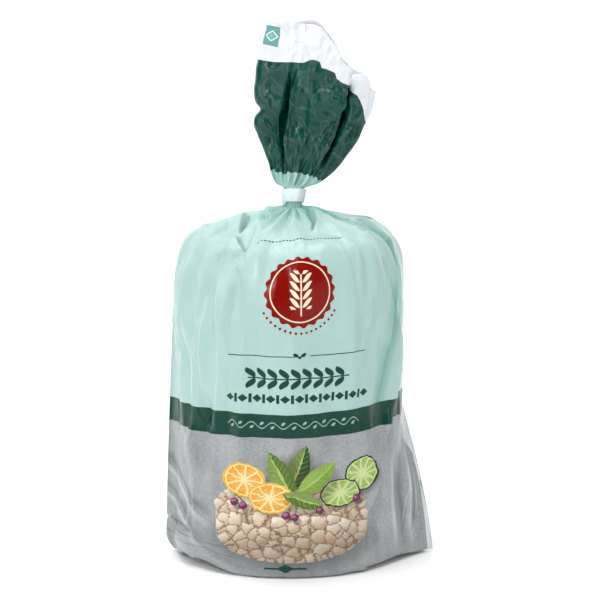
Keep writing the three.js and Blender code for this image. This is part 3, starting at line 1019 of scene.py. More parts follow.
def fan_grid(flat, shares):
    """Points of the fan, their height above the neck and their place across, from 0 to 1."""
    q = ((0.75 + flat / GIRTH) % 1.0)[None, :]
    sheet, along = sheet_place(flat)
    even = ((along + FLAT_LEFT) / (FLAT_LEFT + FLAT_RIGHT))[None, :]
    tip = mouth_height(blend(FAN_TIPS["left"], FAN_TIPS["right"], even))
    height = FAN_FROM + (tip - FAN_FROM) * shares[:, None]
    across = blend((1 - np.cos(np.pi * even)) / 2, even, smooth(height, 0, 14))
    left, right = fan_edges(height)
    start = (1 - smooth(height, 0, 2)) * (1 - 2 * across)
    sideways = np.zeros_like(height)
    inwards = np.zeros_like(height)
    for side, valleys in ((-1, FRONT_VALLEYS), (1, BACK_VALLEYS)):
        mine = (sheet == side)[None, :] * smooth(height, 3, 24)
        fades = mine * (1 - 0.9 * smooth(height, 36, 52))
        for valley in valleys:
            aside, inside = valley_shape(across, smooth(height, 5, 55), valley)
            sideways += fades * aside
            inwards += fades * inside
    lens = np.sqrt(np.maximum(0, 1 - (2 * across - 1) ** 2))
    depth = blend(NECK_DEPTH + 0.4, FAN_HALF_DEPTH, smooth(height, 0, 55))
    pleats = 0.8 * smooth(height, 0, 8) * (1 - smooth(height, 8, 22)) * pleat(q) * lens
    full = lens * depth
    half = np.maximum(full + pleats - np.minimum(inwards, full * 0.85), THINNEST)
    x = blend(left, right, across) + 1.2 * start + sideways + left_leaf(across, height)
    y = BACKWARD_LEAN * (NECK_TOP - NECK_BOTTOM + height) + sheet[None, :] * half
    return np.stack([x, y, NECK_TOP + height], -1), height, across


FAN_ROWS = 112
fan_flat = film_columns(0.62, back_has=1)
fan_shares = np.linspace(0, 1, FAN_ROWS) ** 1.15
fan_points, fan_height, fan_across = fan_grid(fan_flat, fan_shares)
print("the fan is", np.ptp(fan_points[..., 0]).round(1), "mm wide")

# %% [markdown]
# ## Creases of the fan
# The creases are laid over the fan as it stands, and not over the flat film, because its film is
# squeezed together sideways. Near the welds they grow small, and at the tape the film is gathered
# in an even collar.

# %% Crease the fan
FAN_SQUEEZE = 0.36  # mm across the fan for each mm of film
FAN_RIDGES = (  # places across the fan from 0 to 50, and heights in mm
    {"path": [(13.5, 8), (15, 26), (20, 52)], "height": 1.0, "width": 1.1},
    {"path": [(17, 6), (24, 24), (23, 40)], "height": 1.1, "width": 1.2},
    {"path": [(23, 4), (31, 20), (33, 32)], "height": 1.2, "width": 1.0},
    {"path": [(28, 12), (36, 26), (35, 44)], "height": -1.2, "width": 1.6},
    {"path": [(37, 10), (42, 22), (46, 34)], "height": 1.1, "width": 1.1},
    {"path": [(34, 18), (40, 17), (46, 12)], "height": 1.1, "width": 1.0},
    {"path": [(2, 32), (7, 22), (10, 10)], "height": 1.0, "width": 1.0},
    {"path": [(3, 12), (8, 20), (5, 44)], "height": 0.8, "width": 1.2},
)
COLLAR_PLEATS = 17

fan_sheet, _ = sheet_place(fan_flat)
fan_u = np.broadcast_to(fan_flat, fan_points.shape[:2])
squeezed = FAN_SQUEEZE * fan_u
on_fan = smooth(fan_height, 2, 22)
crushed = bell(fan_across, 0.66, 0.16) * smooth(fan_height, 8, 26) + 0.25
crease = 2.4 * read_net(BROAD_NET, 1.5 * squeezed - 0.5 * fan_height, 1.1 * fan_height)
crease = crease + 1.0 * read_net(MIDDLE_NET, 1.2 * squeezed, 0.8 * fan_height + 0.4 * squeezed)
crease = crease + 0.55 * crushed * read_net(FINE_NET, 1.2 * squeezed, fan_height)
fan_places = np.stack([50 * fan_across, fan_height], -1)
crease = crease + folds(11, fan_places, (9, 20), 5)
crease = crease + crushed * folds(12, fan_places, (3, 6), 4)
for fold in FAN_RIDGES:
    crease = crease + ridge(fan_places, **fold) * (fan_sheet < 0)
collar_turn = COLLAR_PLEATS * fan_u / GIRTH + 0.4 * np.sin(FULL_TURN * 4 * fan_u / GIRTH)
collar = 0.9 * (1 - 4 * abs(collar_turn % 1 - 0.5))
edge_calm = 0.35 + 0.65 * smooth(fan_across, 0, 0.1) * (1 - smooth(fan_across, 0.9, 1))
crease = crease * on_fan * edge_calm
crease = crease + collar * smooth(fan_height, 0, 3) * (1 - smooth(fan_height, 6, 15))
fan_outer = fan_points + crease[..., None] * outward(fan_points)
print("creases of the fan", crease.min().round(1), "to", crease.max().round(1), "mm")

# %% [markdown]
# ## Flat heights of the fan
# The print of the fan runs level with the cut edge, so its flat height is counted down from the
# mouth in the upper half, and up from the neck in the lower. Each fold hides a little film, which
# makes the steps in the line of the white edge.

# %% Flat heights of the fan
FAN_FILM = 76.0
FILM_AT_FAN = FILM_AT_NECK + 3  # the 3 mm are under the tape
FILM_AT_MOUTH = FILM_AT_FAN + FAN_FILM
WHITE_BACK = 16.0  # width of the white edge at the back
# Its width at places across the front; each jump is a fold that hides some film.
WHITE_EDGE = (
    [0, 0.36, 0.50, 0.52, 0.63, 0.65, 0.73, 0.76, 1],
    [16.5, 16.8, 13.5, 14.8, 9.0, 10.0, 7.5, 6.5, 14],
)

fan_steps = np.linalg.norm(np.diff(fan_points, axis=0, prepend=fan_points[:1]), axis=2)
from_neck = np.cumsum(fan_steps, axis=0)
from_mouth = from_neck[-1:] - from_neck
near_mouth = smooth(fan_shares, 0.3, 0.65)[:, None]
fan_v = blend(FILM_AT_FAN + from_neck, FILM_AT_MOUTH - from_mouth, near_mouth)
drawn_up = 2.2 * (1 - smooth(fan_across, 0, 0.2)) + 0.5 * (1 - 4 * abs(9 * fan_across % 1 - 0.5))
fan_v = fan_v - drawn_up * (fan_sheet < 0) * (1 - near_mouth)
slipped = np.where(fan_sheet < 0, np.interp(fan_across, *WHITE_EDGE) - WHITE_BACK, 0.0)
fan_v = fan_v + slipped * near_mouth
print("the film is", round(FILM_AT_MOUTH), "mm long from the base to the mouth")

# %% [markdown]
# ## The film of the fan
# The mouth of the fan is open, so its film shows from both sides. The skin therefore runs up the
# outside, turns over the cut edge and goes down the inside a little way off, which gives the film
# a real thickness and keeps the mesh closed.

# %% Film of the fan
LINING_ROWS = 60
LINING_FROM = 6  # the row of the outside where the lining ends, just above the neck
FILM_THICKNESS = 0.25
STUB_SIZE = 0.97  # the stub is a little slimmer than the neck, so that the tape hides it

lining = np.linspace(FAN_ROWS - 1, LINING_FROM, LINING_ROWS).round().astype(int)
fan_inner = fan_outer[lining] - FILM_THICKNESS * outward(fan_outer)[lining]
neck_stub = np.array([neck_row(fan_flat, z) for z in (NECK_HIDDEN - 1, NECK_HIDDEN + 1, NECK_TOP)])
neck_stub = neck_stub[..., :3]
stub_middle = neck_stub.mean(axis=1, keepdims=True)
neck_stub = stub_middle + (neck_stub - stub_middle) * STUB_SIZE
fan_shape = np.concatenate([neck_stub, fan_outer, fan_inner])
stub_v = np.repeat([[FILM_AT_NECK], [FILM_AT_FAN - 1], [FILM_AT_FAN]], len(fan_flat), 1)
fan_print_v = np.concatenate([stub_v, fan_v, fan_v[lining]])
fan = grid_mesh("film_fan", fan_shape, np.broadcast_to(fan_flat, fan_print_v.shape), fan_print_v)
print("fan film:", len(fan.data.polygons), "faces")

# %% [markdown]
# ## The tape
# A strip of white paper goes once round the neck, and its free end laps over the start, a little
# lower. Each is a band with four edge lines, joined by quads. A Solidify modifier on a plain ribbon
# would give the same, but the lines make it easy to tip the band back with the neck and to bow
# its edges upwards in the middle of the front.

# %% Tape
TAPE_GAP = 0.35
TAPE_THICKNESS = 0.4
TAPE_BOTTOM = 154.2
TAPE_TOP = 159.7
TAPE_TIP = 0.2  # mm up for each mm towards the front
TAPE_COLUMNS = 160
LAP = {"from": 0.2, "to": 0.62, "drop": 0.8, "sunk": 0.1, "thickness": 0.3}
EDGE_BEVEL = 0.1


def tape_lines(bottom, top, inner, outer, start, end, closed):
    """The four edge lines of a band, from share `start` to share `end` of the way round."""
    q = np.linspace(start, end, TAPE_COLUMNS, endpoint=not closed)
    lines = []
    for offset, z in ((outer, bottom), (outer, top), (inner, top), (inner, bottom)):
        up = (z - NECK_BOTTOM) / (NECK_TOP - NECK_BOTTOM)
        half_width = blend(NECK_FOOT, NECK_HEAD, up) + offset
        squeeze = 0.12 * np.sin(FULL_TURN * 5 * q + 1) + 0.08 * np.sin(FULL_TURN * 9 * q)
        y = (NECK_DEPTH + offset + squeeze) * np.sin(FULL_TURN * q)
        x = NECK_X + NECK_SLANT * (z - NECK_BOTTOM) + (half_width + squeeze) * np.cos(FULL_TURN * q)
        level = z - TAPE_TIP * y + 0.06 * np.sin(FULL_TURN * 7 * q + z)
        lines.append(np.stack([x, y + BACKWARD_LEAN * (z - NECK_BOTTOM), level], 1))
    return np.array(lines)


def band_mesh(name, lines, closed):
    """Joins four lines of points (mm) into a band. An open band gets a face at each end."""
    count = lines.shape[1]
    quads = []
    for j in range(count if closed else count - 1):
        after = (j + 1) % count
        for this, following in ((0, 1), (1, 2), (2, 3), (3, 0)):
            low, high = this * count, following * count
            quads.append((low + j, low + after, high + after, high + j))
    if not closed:
        quads += [(0, count, 2 * count, 3 * count), tuple(4 * count - 1 - k * count for k in range(4))]
    mesh = bpy.data.meshes.new(name)
    mesh.from_pydata((lines.reshape(-1, 3) * MM).tolist(), [], quads)
    mesh.update()
    mesh.shade_smooth()
    return add_object(name, mesh)


def soften(thing, width):
    bevel = thing.modifiers.new("soft_edges", "BEVEL")
    bevel.width = width * MM
    bevel.segments = 2
    bevel.limit_method = "ANGLE"


outside = TAPE_GAP + TAPE_THICKNESS
tape = band_mesh("tape_turn", tape_lines(TAPE_BOTTOM, TAPE_TOP, TAPE_GAP, outside, 0, 1, True), True)
lap_lines = tape_lines(
    TAPE_BOTTOM - LAP["drop"],
    TAPE_TOP - LAP["drop"],
    outside - LAP["sunk"],
    outside + LAP["thickness"],
    LAP["from"],
    LAP["to"],
    False,
)
lap = band_mesh("tape_end", lap_lines, False)
for piece in (tape, lap):
    soften(piece, EDGE_BEVEL)
print("tape", round(TAPE_TOP - TAPE_BOTTOM, 1), "mm wide")

# %% [markdown]
# ## The clear weld strips
# The film is printed nearly to its edge. Outside the print a narrow clear strip is left, where
# both sheets are welded into one. It is a thin plate that starts between the sheets and stands
# out beyond them, so it is a piece of its own with a see-through finish.

# %% Weld strips
STRIP_ROWS = 70
STRIP_HALF = 0.09  # half its thickness in the middle
STRIP_HIDDEN = 1.4  # mm of it that lie between the sheets


def weld_strip(name, ear, side, show, top):
    heights = np.linspace(EAR_CLEARANCE + 0.3, top, STRIP_ROWS)
    reach = np.array([ear_reach(ear, z) for z in heights])
    out = reach + 0.15 * np.sin(heights / 3.1) - 0.25
    inner = out - show - STRIP_HIDDEN
    middle = (out + inner) / 2
    lines = []
    for x, half in ((inner, 0.02), (middle, -STRIP_HALF), (out, -0.05), (middle, STRIP_HALF)):
        lines.append(np.stack([side * x, ear_sway(side * x, heights) + half, heights], 1))
    return band_mesh(name, np.array(lines), False)


right_strip = weld_strip("weld_strip_right", RIGHT_EAR, 1, 1.6, 58)
left_strip = weld_strip("weld_strip_left", LEFT_EAR, -1, 0.5, 40)
print("weld strips of", len(right_strip.data.polygons), "faces each")

# %% [markdown]
# ## Drawing with numbers
# A shader can draw a shape by asking, at each point, how far inside it the point lies. `Field`
# wraps one such number so that plain arithmetic in Python builds the Math nodes, and `Print`
# lays colours over each other like the inks of a press. All distances are flat millimetres.

# %% Numbers of the shader
def feed(socket, value):
    """Link a Field or an output to a socket, or set the socket to a number or a colour."""
    if isinstance(value, Field):
        value = value.socket
    if isinstance(value, bpy.types.NodeSocket):
        Field.tree.links.new(value, socket)
    else:
        socket.default_value = value


class Field:
    """A number that the shader works out at each point of the film."""

    tree = None

    def __init__(self, socket):
        self.socket = socket

    @classmethod
    def calculate(cls, operation, *values):
        node = cls.tree.nodes.new("ShaderNodeMath")
        node.operation = operation
        for socket, value in zip(node.inputs, values):
            feed(socket, value)
        return Field(node.outputs[0])

    def __add__(self, other):
        return self.calculate("ADD", self, other)

    def __sub__(self, other):
        return self.calculate("SUBTRACT", self, other)

    def __rsub__(self, other):
        return self.calculate("SUBTRACT", other, self)

    def __mul__(self, other):
        return self.calculate("MULTIPLY", self, other)

    __rmul__ = __mul__

    def __truediv__(self, other):
        return self.calculate("DIVIDE", self, other)

    def __abs__(self):
        return self.calculate("ABSOLUTE", self)

    def __lt__(self, other):
        return self.calculate("LESS_THAN", self, other)

    def __gt__(self, other):
        return self.calculate("GREATER_THAN", self, other)

    def __and__(self, other):
        return self.calculate("MULTIPLY", self, other)

    def __or__(self, other):
        return self.calculate("MAXIMUM", self, other)

    def repeat(self, pitch):
        """The distance from the nearest of a row of places, pitch apart."""
        return self.calculate("WRAP", self, pitch / 2, -pitch / 2)

    def least(self, other):
        return self.calculate("MINIMUM", self, other)

    def most(self, other):
        return self.calculate("MAXIMUM", self, other)

    def sine(self):
        return self.calculate("SINE", self)

    def clamp(self):
        return self.calculate("MULTIPLY_ADD", self.most(0).least(1), 1, 0)


print("a Field knows", sum(callable(part) for part in vars(Field).values()), "operations")

# %% [markdown]
# ## Shapes and layers
# A comparison gives 1 inside a shape and 0 outside, which is a mask. Where masks are multiplied
# both shapes must hold, and the larger of two masks holds wherever either does. An image painted
# in flat millimetres would show its pixels up close, while these edges stay sharp at any size.

# %% Shapes and layers
def far(x, y):
    """Distance of a point from the origin."""
    return Field.calculate("SQRT", x * x + y * y)


def angle_of(x, y):
    return Field.calculate("ARCTAN2", y, x)


def beside(distance, width):
    """1 on the line, falling to 0 at `width` from it."""
    return (1 - abs(distance) / width).clamp()


def bent_line(field, *points):
    """A line of straight pieces through (place, value) pairs, read at the field's value."""
    (place, value), *rest = points
    line, slope_before = value, 0.0
    for next_place, next_value in rest:
        slope = (next_value - value) / (next_place - place)
        line = (field - place).most(0) * (slope - slope_before) + line
        place, value, slope_before = next_place, next_value, slope
    return line


def cosine_and_sine(degrees):
    return np.cos(np.radians(degrees)), np.sin(np.radians(degrees))


def leaf(x, y, length, width, turn=0.0):
    """A pointed leaf or grain lying along x, turned by `turn` degrees."""
    c, s = cosine_and_sine(turn)
    along = x * (c / length) + y * (s / length)
    aside = abs(y * (c / width) - x * (s / width))
    return (aside + along * along) < 1


def oval(x, y, half_width, half_height):
    return (x * x / half_width**2 + y * y / half_height**2) < 1


class Print:
    """Layers of ink on the film."""

    def __init__(self, ground):
        self.colour = ground

    def lay(self, colour, mask):
        mix = Field.tree.nodes.new("ShaderNodeMix")
        mix.data_type = "RGBA"
        feed(mix.inputs["Factor"], mask)
        for name, value in (("A", self.colour), ("B", colour)):
            socket = next(s for s in mix.inputs if s.name == name and s.type == "RGBA")
            feed(socket, (*value, 1) if isinstance(value, tuple) else value)
        self.colour = next(s for s in mix.outputs if s.type == "RGBA")


def shade_between(amount, dark, light):
    """A colour between two inks, by a field from 0 to 1."""
    layers = Print(dark)
    layers.lay(light, amount)
    return layers.colour


def ink(red, green, blue):
    """A colour as a screen shows it, turned into the linear light that shaders work in."""
    shown = np.array([red, green, blue]) / 255
    bright = ((shown + 0.055) / 1.055) ** 2.4
    return tuple(float(c) for c in np.where(shown > 0.04, bright, shown / 12.92))


print("middle grey of a screen is", round(ink(128, 128, 128)[0], 3), "in linear light")

# %% [markdown]
# ## Inks
# The film is mint above, with a dark green band and a soft grey linen field below it. The fan is
# dark green again, and the last strip before the cut edge is plain white.

# %% Ink colours
MINT = ink(166, 195, 191)
FOLD_SHADE_MINT = ink(112, 166, 151)
DARK_GREEN = ink(6, 60, 48)
WHITE_FILM = ink(221, 224, 229)
FAN_GREEN = ink(4, 66, 56)
PALE_GREEN = ink(140, 178, 164)
TEAL = ink(95, 158, 150)
BRICK_RED = ink(127, 12, 2)
CREAM = ink(232, 222, 196)
WELD = ink(208, 212, 215)
print("dark green in linear light:", np.round(DARK_GREEN, 3))

# %% [markdown]
# ## The flat film in the shader
# The flat coordinates are a UV map, so the shader reads u and v from it, in millimetres. All the
# noise of the print is read there too, so that it stays on the film when the film is folded.

# %% Place on the flat film
film = bpy.data.materials.new("printed_film")
film.use_nodes = True
Field.tree = film.node_tree


def node(kind, **settings):
    made = Field.tree.nodes.new(kind)
    for name, value in settings.items():
        setattr(made, name, value)
    return made


def place_of(*values):
    """Up to three numbers or Fields joined into one place."""
    joined = node("ShaderNodeCombineXYZ")
    for socket, value in zip(joined.inputs, values):
        feed(socket, value)
    return joined.outputs[0]


def parts_of(socket):
    split = node("ShaderNodeSeparateXYZ")
    feed(split.inputs[0], socket)
    return [Field(output) for output in split.outputs]


u, v, _ = parts_of(node("ShaderNodeUVMap", uv_map="flat_film").outputs["UV"])


def noise(scale, detail=2.0, stretch=(1, 1), seed=0.0):
    """Smooth noise on the flat film, from 0 to 1. scale is in blobs per mm."""
    texture = node("ShaderNodeTexNoise")
    texture.inputs["Scale"].default_value = 1
    texture.inputs["Detail"].default_value = detail
    feed(texture.inputs["Vector"], place_of(u * (scale * stretch[0]), v * (scale * stretch[1]), seed))
    return Field(texture.outputs["Fac"])


def voronoi(place, feature, *names):
    """Outputs of a texture of cells, each one unit wide."""
    texture = node("ShaderNodeTexVoronoi", feature=feature)
    texture.inputs["Scale"].default_value = 1
    feed(texture.inputs["Vector"], place)
    return [texture.outputs[name] for name in names]


print("the front of the film is u", round(-FLAT_LEFT, 1), "to", round(FLAT_RIGHT, 1))

# %% [markdown]
# ## The fields of colour
# Each field is laid over the ones before it, from a given height of the film on. The linen has
# coarse threads both ways and larger stains under them. Along the right-hand fold a darker mint
# is painted in as shade, and towards the neck a darker, greener mint is painted as shade too.

# %% Fields of colour
BAND_BOTTOM, BAND_TOP = 61.0, 71.3
GREEN_FROM = FILM_AT_NECK + 10
WHITE_FROM = FILM_AT_MOUTH - WHITE_BACK
RIGHT_FOLD = (  # v, and u of the fold there
    (66, 45), (78, 46.5), (89, 49.5), (99, 53), (110, 57.5),
    (119, 62), (128, 67), (138, 68), (148, 66),
)

woven = noise(1.5, 2, (1, 0.4)) * 0.45 + noise(1.5, 2, (0.4, 1), seed=7) * 0.45
linen = noise(0.045, 3) * 0.6 + noise(0.12, 2, (1, 0.35), seed=12) * 0.5 + woven - 0.5
from_fold = u - bent_line(v, *RIGHT_FOLD)
fold_width = ((v - 96) * 0.3).most(0).least(5) + 6
on_front = (u < FLAT_RIGHT + 4) & (v > BAND_TOP)

ground = Print(shade_between(linen, ink(98, 101, 103), ink(186, 190, 191)))
ground.lay(DARK_GREEN, v > BAND_BOTTOM)
ground.lay(MINT, v > BAND_TOP)
# Painted shade: a darker mint along the right-hand fold, and a thin painted shadow line beside its
# crease near the shoulder.
ground.lay(FOLD_SHADE_MINT, (1 - abs(from_fold) / fold_width).clamp() * 0.95 * on_front)
ground.lay(FOLD_SHADE_MINT, beside(from_fold + 1.5, 1.2) * 0.7 * on_front * (v > 108))
# Painted shade: a darker, greener mint towards the neck, where the gathered pleats lie in shade.
ground.lay(ink(136, 190, 178), ((v - FILM_AT_NECK + 24) / 30).clamp() * 0.55)
ground.lay(FAN_GREEN, v > GREEN_FROM)
ground.lay(WHITE_FILM, v > WHITE_FROM)
print("band from", BAND_BOTTOM, "to", BAND_TOP, "mm, white edge from", round(WHITE_FROM), "mm")

# %% [markdown]
# ## The label on the shoulder
# A round label with a scalloped edge carries a plain ear of rice in cream. The scallops come from
# adding a sine of the angle to the radius, and the ear's grains are one slanted leaf repeated
# up the stem and mirrored to both sides.

# %% Rosette
LABEL_U, LABEL_V = 5.2, 123.5
LABEL_RADIUS, RING_RADIUS, DOTS_RADIUS = 15.0, 12.9, 17.6
SCALLOPS = 20
GRAIN_PITCH = 3.5
label_x, label_y = u - LABEL_U, v - LABEL_V
label_radius = far(label_x, label_y)
label_angle = angle_of(label_x, label_y)


def lens_width(distance, middle, reach, most):
    """Width of a grain at a distance, widest in its middle and nothing at its tips."""
    return most - (distance - middle) * (distance - middle) * (most / reach**2)


ground.lay(BRICK_RED, label_radius < (label_angle * SCALLOPS).sine() * 0.55 + LABEL_RADIUS)
ground.lay(CREAM, abs(label_radius - RING_RADIUS) < 0.28)
mirrored = abs(label_x)
grain_row = abs((label_y - mirrored * 0.9).repeat(GRAIN_PITCH))
ground.lay(CREAM, (grain_row < lens_width(mirrored, 2.7, 2.2, 1.25)) & (abs(label_y - 0.8) < 8.2))
ground.lay(CREAM, (mirrored < 0.32) & (abs(label_y + 1.5) < 8.8))
dot_place = (label_angle * DOTS_RADIUS).repeat(2.3)
dot = far(dot_place, label_radius - DOTS_RADIUS) < 0.55
ground.lay(BRICK_RED, dot & (label_y < -7.5))
print("label", 2 * LABEL_RADIUS, "mm across")

# %% [markdown]
# ## Rules and borders
# Thin rules, rows of grains and small diamonds fill the front between the label and the band. A
# row is one motif repeated with the WRAP operation, so a long border costs no more nodes than a
# single leaf.

# %% Borders
PRINT_U = 4.5  # the middle of the printed front
RULE_V, GARLAND_V, DIAMONDS_V, DASHES_V, VINE_V = 96.3, 86.7, 78.0, 150.0, 66.6
DIAMOND_PITCH = 6.0
VINE_LENGTH = 9.0  # mm for each wave of the vine
print_x = u - PRINT_U


def window(middle, half):
    return abs(u - middle) < half


rule = abs(v - RULE_V) < 0.2
ground.lay(DARK_GREEN, rule & (window(-11.5, 14.0) | window(22.0, 13.0)))
sprig_x, sprig_y = abs(print_x), v - RULE_V
sprig_leaves = leaf(sprig_x - 1.6, sprig_y - 0.6, 1.5, 0.75, 30)
ground.lay(DARK_GREEN, sprig_leaves | (sprig_x + abs(sprig_y + 0.4) < 0.8))

garland_y = abs(v - GARLAND_V)
garland_u = print_x + garland_y * 0.7
garland_grain = abs(garland_u.repeat(4.8)) < lens_width(garland_y, 2.3, 2.25, 1.75)
ground.lay(DARK_GREEN, garland_grain & (abs(garland_u) < 21.5))
ground.lay(DARK_GREEN, (garland_y < 0.3) & window(PRINT_U, 22.0))

row_y = abs(v - DIAMONDS_V)
diamond_x = abs(print_x.repeat(DIAMOND_PITCH))
ground.lay(DARK_GREEN, (diamond_x * 0.8 + row_y < 1.7) & window(PRINT_U, 33.0))
between_x = abs((print_x - DIAMOND_PITCH / 2).repeat(DIAMOND_PITCH))
ground.lay(DARK_GREEN, (between_x < 0.65) & (row_y < 1.9) & window(PRINT_U, 30.0))

dash_v = v + print_x * print_x * 0.004
dash = abs(print_x.repeat(2.1)) < 0.75
ground.lay(DARK_GREEN, dash & (abs(dash_v - DASHES_V) < 0.35) & window(PRINT_U + 1, 26.0))

vine_wave = (u * (FULL_TURN / VINE_LENGTH)).sine()
vine_y = v - VINE_V
on_vine = window(PRINT_U - 2, 30.0)
ground.lay(PALE_GREEN, (abs(vine_y - vine_wave * 1.3) < 0.22) & on_vine)
vine_leaf_x = (u - VINE_LENGTH / 4).repeat(VINE_LENGTH / 2)
ground.lay(PALE_GREEN, leaf(vine_leaf_x, vine_y + vine_wave * 0.9, 1.15, 0.55, 35) & on_vine)
print("the print so far uses", len(Field.tree.nodes), "nodes")

# %% [markdown]
# ## The picture on the lower front
# The lower front shows a plain round rice cake with slices and leaves on it. The puffed grains are
# the cells of a Voronoi texture. Its distance to the cell's edge makes the brown gaps, and the way
# from the cell's centre shades each grain, light above and dark below, so that it looks round.

# %% Puffed grains
CAKE_U, CAKE_TOP_V = 1.0, 30.5
CAKE_HALF_WIDTH, CAKE_HALF_DEPTH, CAKE_SIDE = 35.5, 12.0, 11.5
below_band = v < BAND_BOTTOM
wobble = noise(0.35, 2)
crumb = noise(0.9, 3, seed=4)
freckle = noise(1.9, 2, seed=9)


def grain_texture(size, flatness):
    """Distance to a grain's edge, its own tint, and how far up and right a point lies on it."""
    across = u * (1 / size) + crumb * 0.7
    upward = v * (flatness / size) + wobble * 0.8
    place = place_of(across, upward)
    (edge_distance,) = voronoi(place, "DISTANCE_TO_EDGE", "Distance")
    colour, centre = voronoi(place, "F1", "Color", "Position")
    middle = parts_of(centre)
    return Field(edge_distance), parts_of(colour)[0], across - middle[0], upward - middle[1]


edge_distance, grain_tint, right_of, above = grain_texture(5.4, 1.3)
grain_light = (above * 0.75 - right_of * 0.4 + 0.5 + (crumb - 0.5) * 1.1).clamp()
grain_colour = shade_between(grain_light, ink(186, 162, 136), ink(240, 231, 216))
tinted = Print(grain_colour)
tinted.lay(ink(198, 174, 146), grain_tint * 0.4)
tinted.lay(ink(140, 104, 72), ((0.10 - edge_distance) * 12).clamp() * 0.75)
tinted.lay(ink(92, 62, 40), ((0.035 - edge_distance) * 30).clamp() * 0.7)
tinted.lay(ink(150, 116, 84), ((freckle - 0.62) * 6).clamp() * 0.5)
cake_x = u - CAKE_U
cake_y = v - CAKE_TOP_V
stood = cake_y.most(0) + (cake_y + CAKE_SIDE).least(0)
uneven = (wobble - 0.5) * 0.1 + (0.10 - edge_distance).most(0) * -0.9 + 1.0
cake_mask = (cake_x * cake_x / CAKE_HALF_WIDTH**2 + stood * stood / CAKE_HALF_DEPTH**2) < uneven
print("the drawn cake is", 2 * CAKE_HALF_WIDTH, "mm wide")

# %% The cake and its shadow on the cloth
CRUST_SHADE = ink(104, 80, 60)
shadow_y = cake_y + CAKE_SIDE + 3.5
shadow = 1.0 - (cake_x * cake_x / 46**2 + shadow_y * shadow_y / 15**2)
ground.lay(ink(70, 72, 74), (shadow * 1.2).clamp() * below_band * 0.85)
ground.lay(tinted.colour, cake_mask)
on_side = ((cake_y + 5.0 + cake_x * cake_x * 0.004) * -0.11).clamp()
ground.lay(CRUST_SHADE, (on_side * 0.5) & cake_mask)
to_right = ((cake_x - 12.0) * 0.035).clamp() * 0.35
ground.lay(CRUST_SHADE, to_right & cake_mask)
print("the cake stands on the cloth at v", CAKE_TOP_V - CAKE_SIDE - CAKE_HALF_DEPTH)

# %% [markdown]
# ## Slices and leaves
# Each topping is a small drawing of its own: a soft shadow first, then the outline, and inside it
# the segments, seeds or veins. They are drawn from the back to the front, as a painter would.

# %% Slices and leaves
topping_wobble = (wobble - 0.5) * 2.0  # so that no outline is a perfect curve
top_u, top_v = u + topping_wobble, v + topping_wobble
SHADOW_INK = ink(58, 48, 36)


def soft_shadow(x, y, half_width, half_height, strength=0.55):
    dx, dy = u - x - 1.2, v - y + 1.6
    fall = 1.25 - (dx * dx / half_width**2 + dy * dy / half_height**2)
    ground.lay(SHADOW_INK, (fall * 1.5).clamp() * below_band * strength)


def slice_of(x, y, half_width, half_height, rim, flesh, pale, parts, part_width):
    """A round slice with a rim and as many segments or seeds as `parts` says."""
    soft_shadow(x, y, half_width, half_height)
    dx, dy = (top_u - x) / half_width, (top_v - y) / half_height
    size = far(dx, dy)
    turn = abs(angle_of(dx, dy).repeat(FULL_TURN / parts))
    ground.lay(rim, (size < 1.0) & below_band)
    ground.lay(pale, (size < 0.9) & below_band)
    segment = (size < 0.84) & (size > 0.1) & (turn * size > part_width)
    flesh_light = ((0.9 - size) * 0.5 + (crumb - 0.5) * 1.2).clamp()
    ground.lay(flesh, segment & below_band)
    ground.lay(pale, segment & below_band & flesh_light)


def leaf_at(x, y, length, width, turn, colour, vein):
    """A leaf with a lighter half, a midrib and side veins."""
    c, s = cosine_and_sine(turn)
    reach, rise = (abs(share) * (length - width) + width for share in (c, s))
    soft_shadow(x, y, reach, rise, 0.4)
    dx, dy = top_u - x, top_v - y
    along, aside = dx * c + dy * s, dy * c - dx * s
    shape = leaf(dx, dy, length, width, turn) & below_band
    ground.lay(colour, shape)
    ground.lay(vein, shape & (aside > 0) & ((crumb * 0.5 + 0.1).clamp()))
    side_veins = abs((along - abs(aside) * 0.9).repeat(2.4)) < 0.13
    ground.lay(vein, shape & side_veins & (abs(aside) < width * 0.7) * 0.5)
    ground.lay(vein, leaf(dx, dy, length * 0.92, width * 0.09, turn) & below_band)


def berry_at(x, y, radius):
    soft_shadow(x, y, radius, radius)
    ground.lay(ink(104, 48, 78), oval(top_u - x, top_v - y, radius, radius * 0.9))
    ground.lay(ink(164, 104, 134), oval(top_u - x + 0.5, top_v - y - 0.5, radius * 0.5, radius * 0.35))


OLIVE_LEAF, FRESH_LEAF, DEEP_LEAF = ink(78, 108, 40), ink(118, 152, 58), ink(44, 76, 36)
VEIN = ink(164, 186, 106)
GREEN_RIM, GREEN_FLESH, GREEN_PALE = ink(42, 62, 34), ink(140, 172, 86), ink(196, 210, 146)
YELLOW_RIM, YELLOW_FLESH, YELLOW_PALE = ink(220, 176, 66), ink(224, 152, 28), ink(240, 216, 160)
GREEN_SLICE = (GREEN_RIM, GREEN_FLESH, GREEN_PALE, 11, 0.06)
YELLOW_SLICE = (YELLOW_RIM, YELLOW_FLESH, YELLOW_PALE, 9, 0.045)
BERRIES = ((-25, 32), (-21, 30.5), (13.5, 29.5), (-1, 27.5), (2.5, 26.5), (31, 33))
slice_of(34, 43, 9.5, 7.5, *GREEN_SLICE)
slice_of(23, 36, 9.8, 6.2, *GREEN_SLICE)
leaf_at(4, 47.5, 11, 4.6, 70, DEEP_LEAF, VEIN)
leaf_at(-3, 44, 12, 4.8, 118, OLIVE_LEAF, VEIN)
leaf_at(12, 43, 11, 4.4, 35, FRESH_LEAF, VEIN)
slice_of(-20, 42, 10.5, 7.8, *YELLOW_SLICE)
slice_of(-8, 35, 10.4, 6.6, *YELLOW_SLICE)
leaf_at(6, 34, 9.5, 3.6, -18, OLIVE_LEAF, VEIN)
for berry_u, berry_v in BERRIES:
    berry_at(berry_u, berry_v, 1.9)
print(len(BERRIES), "berries; the print now uses", len(Field.tree.nodes), "nodes")

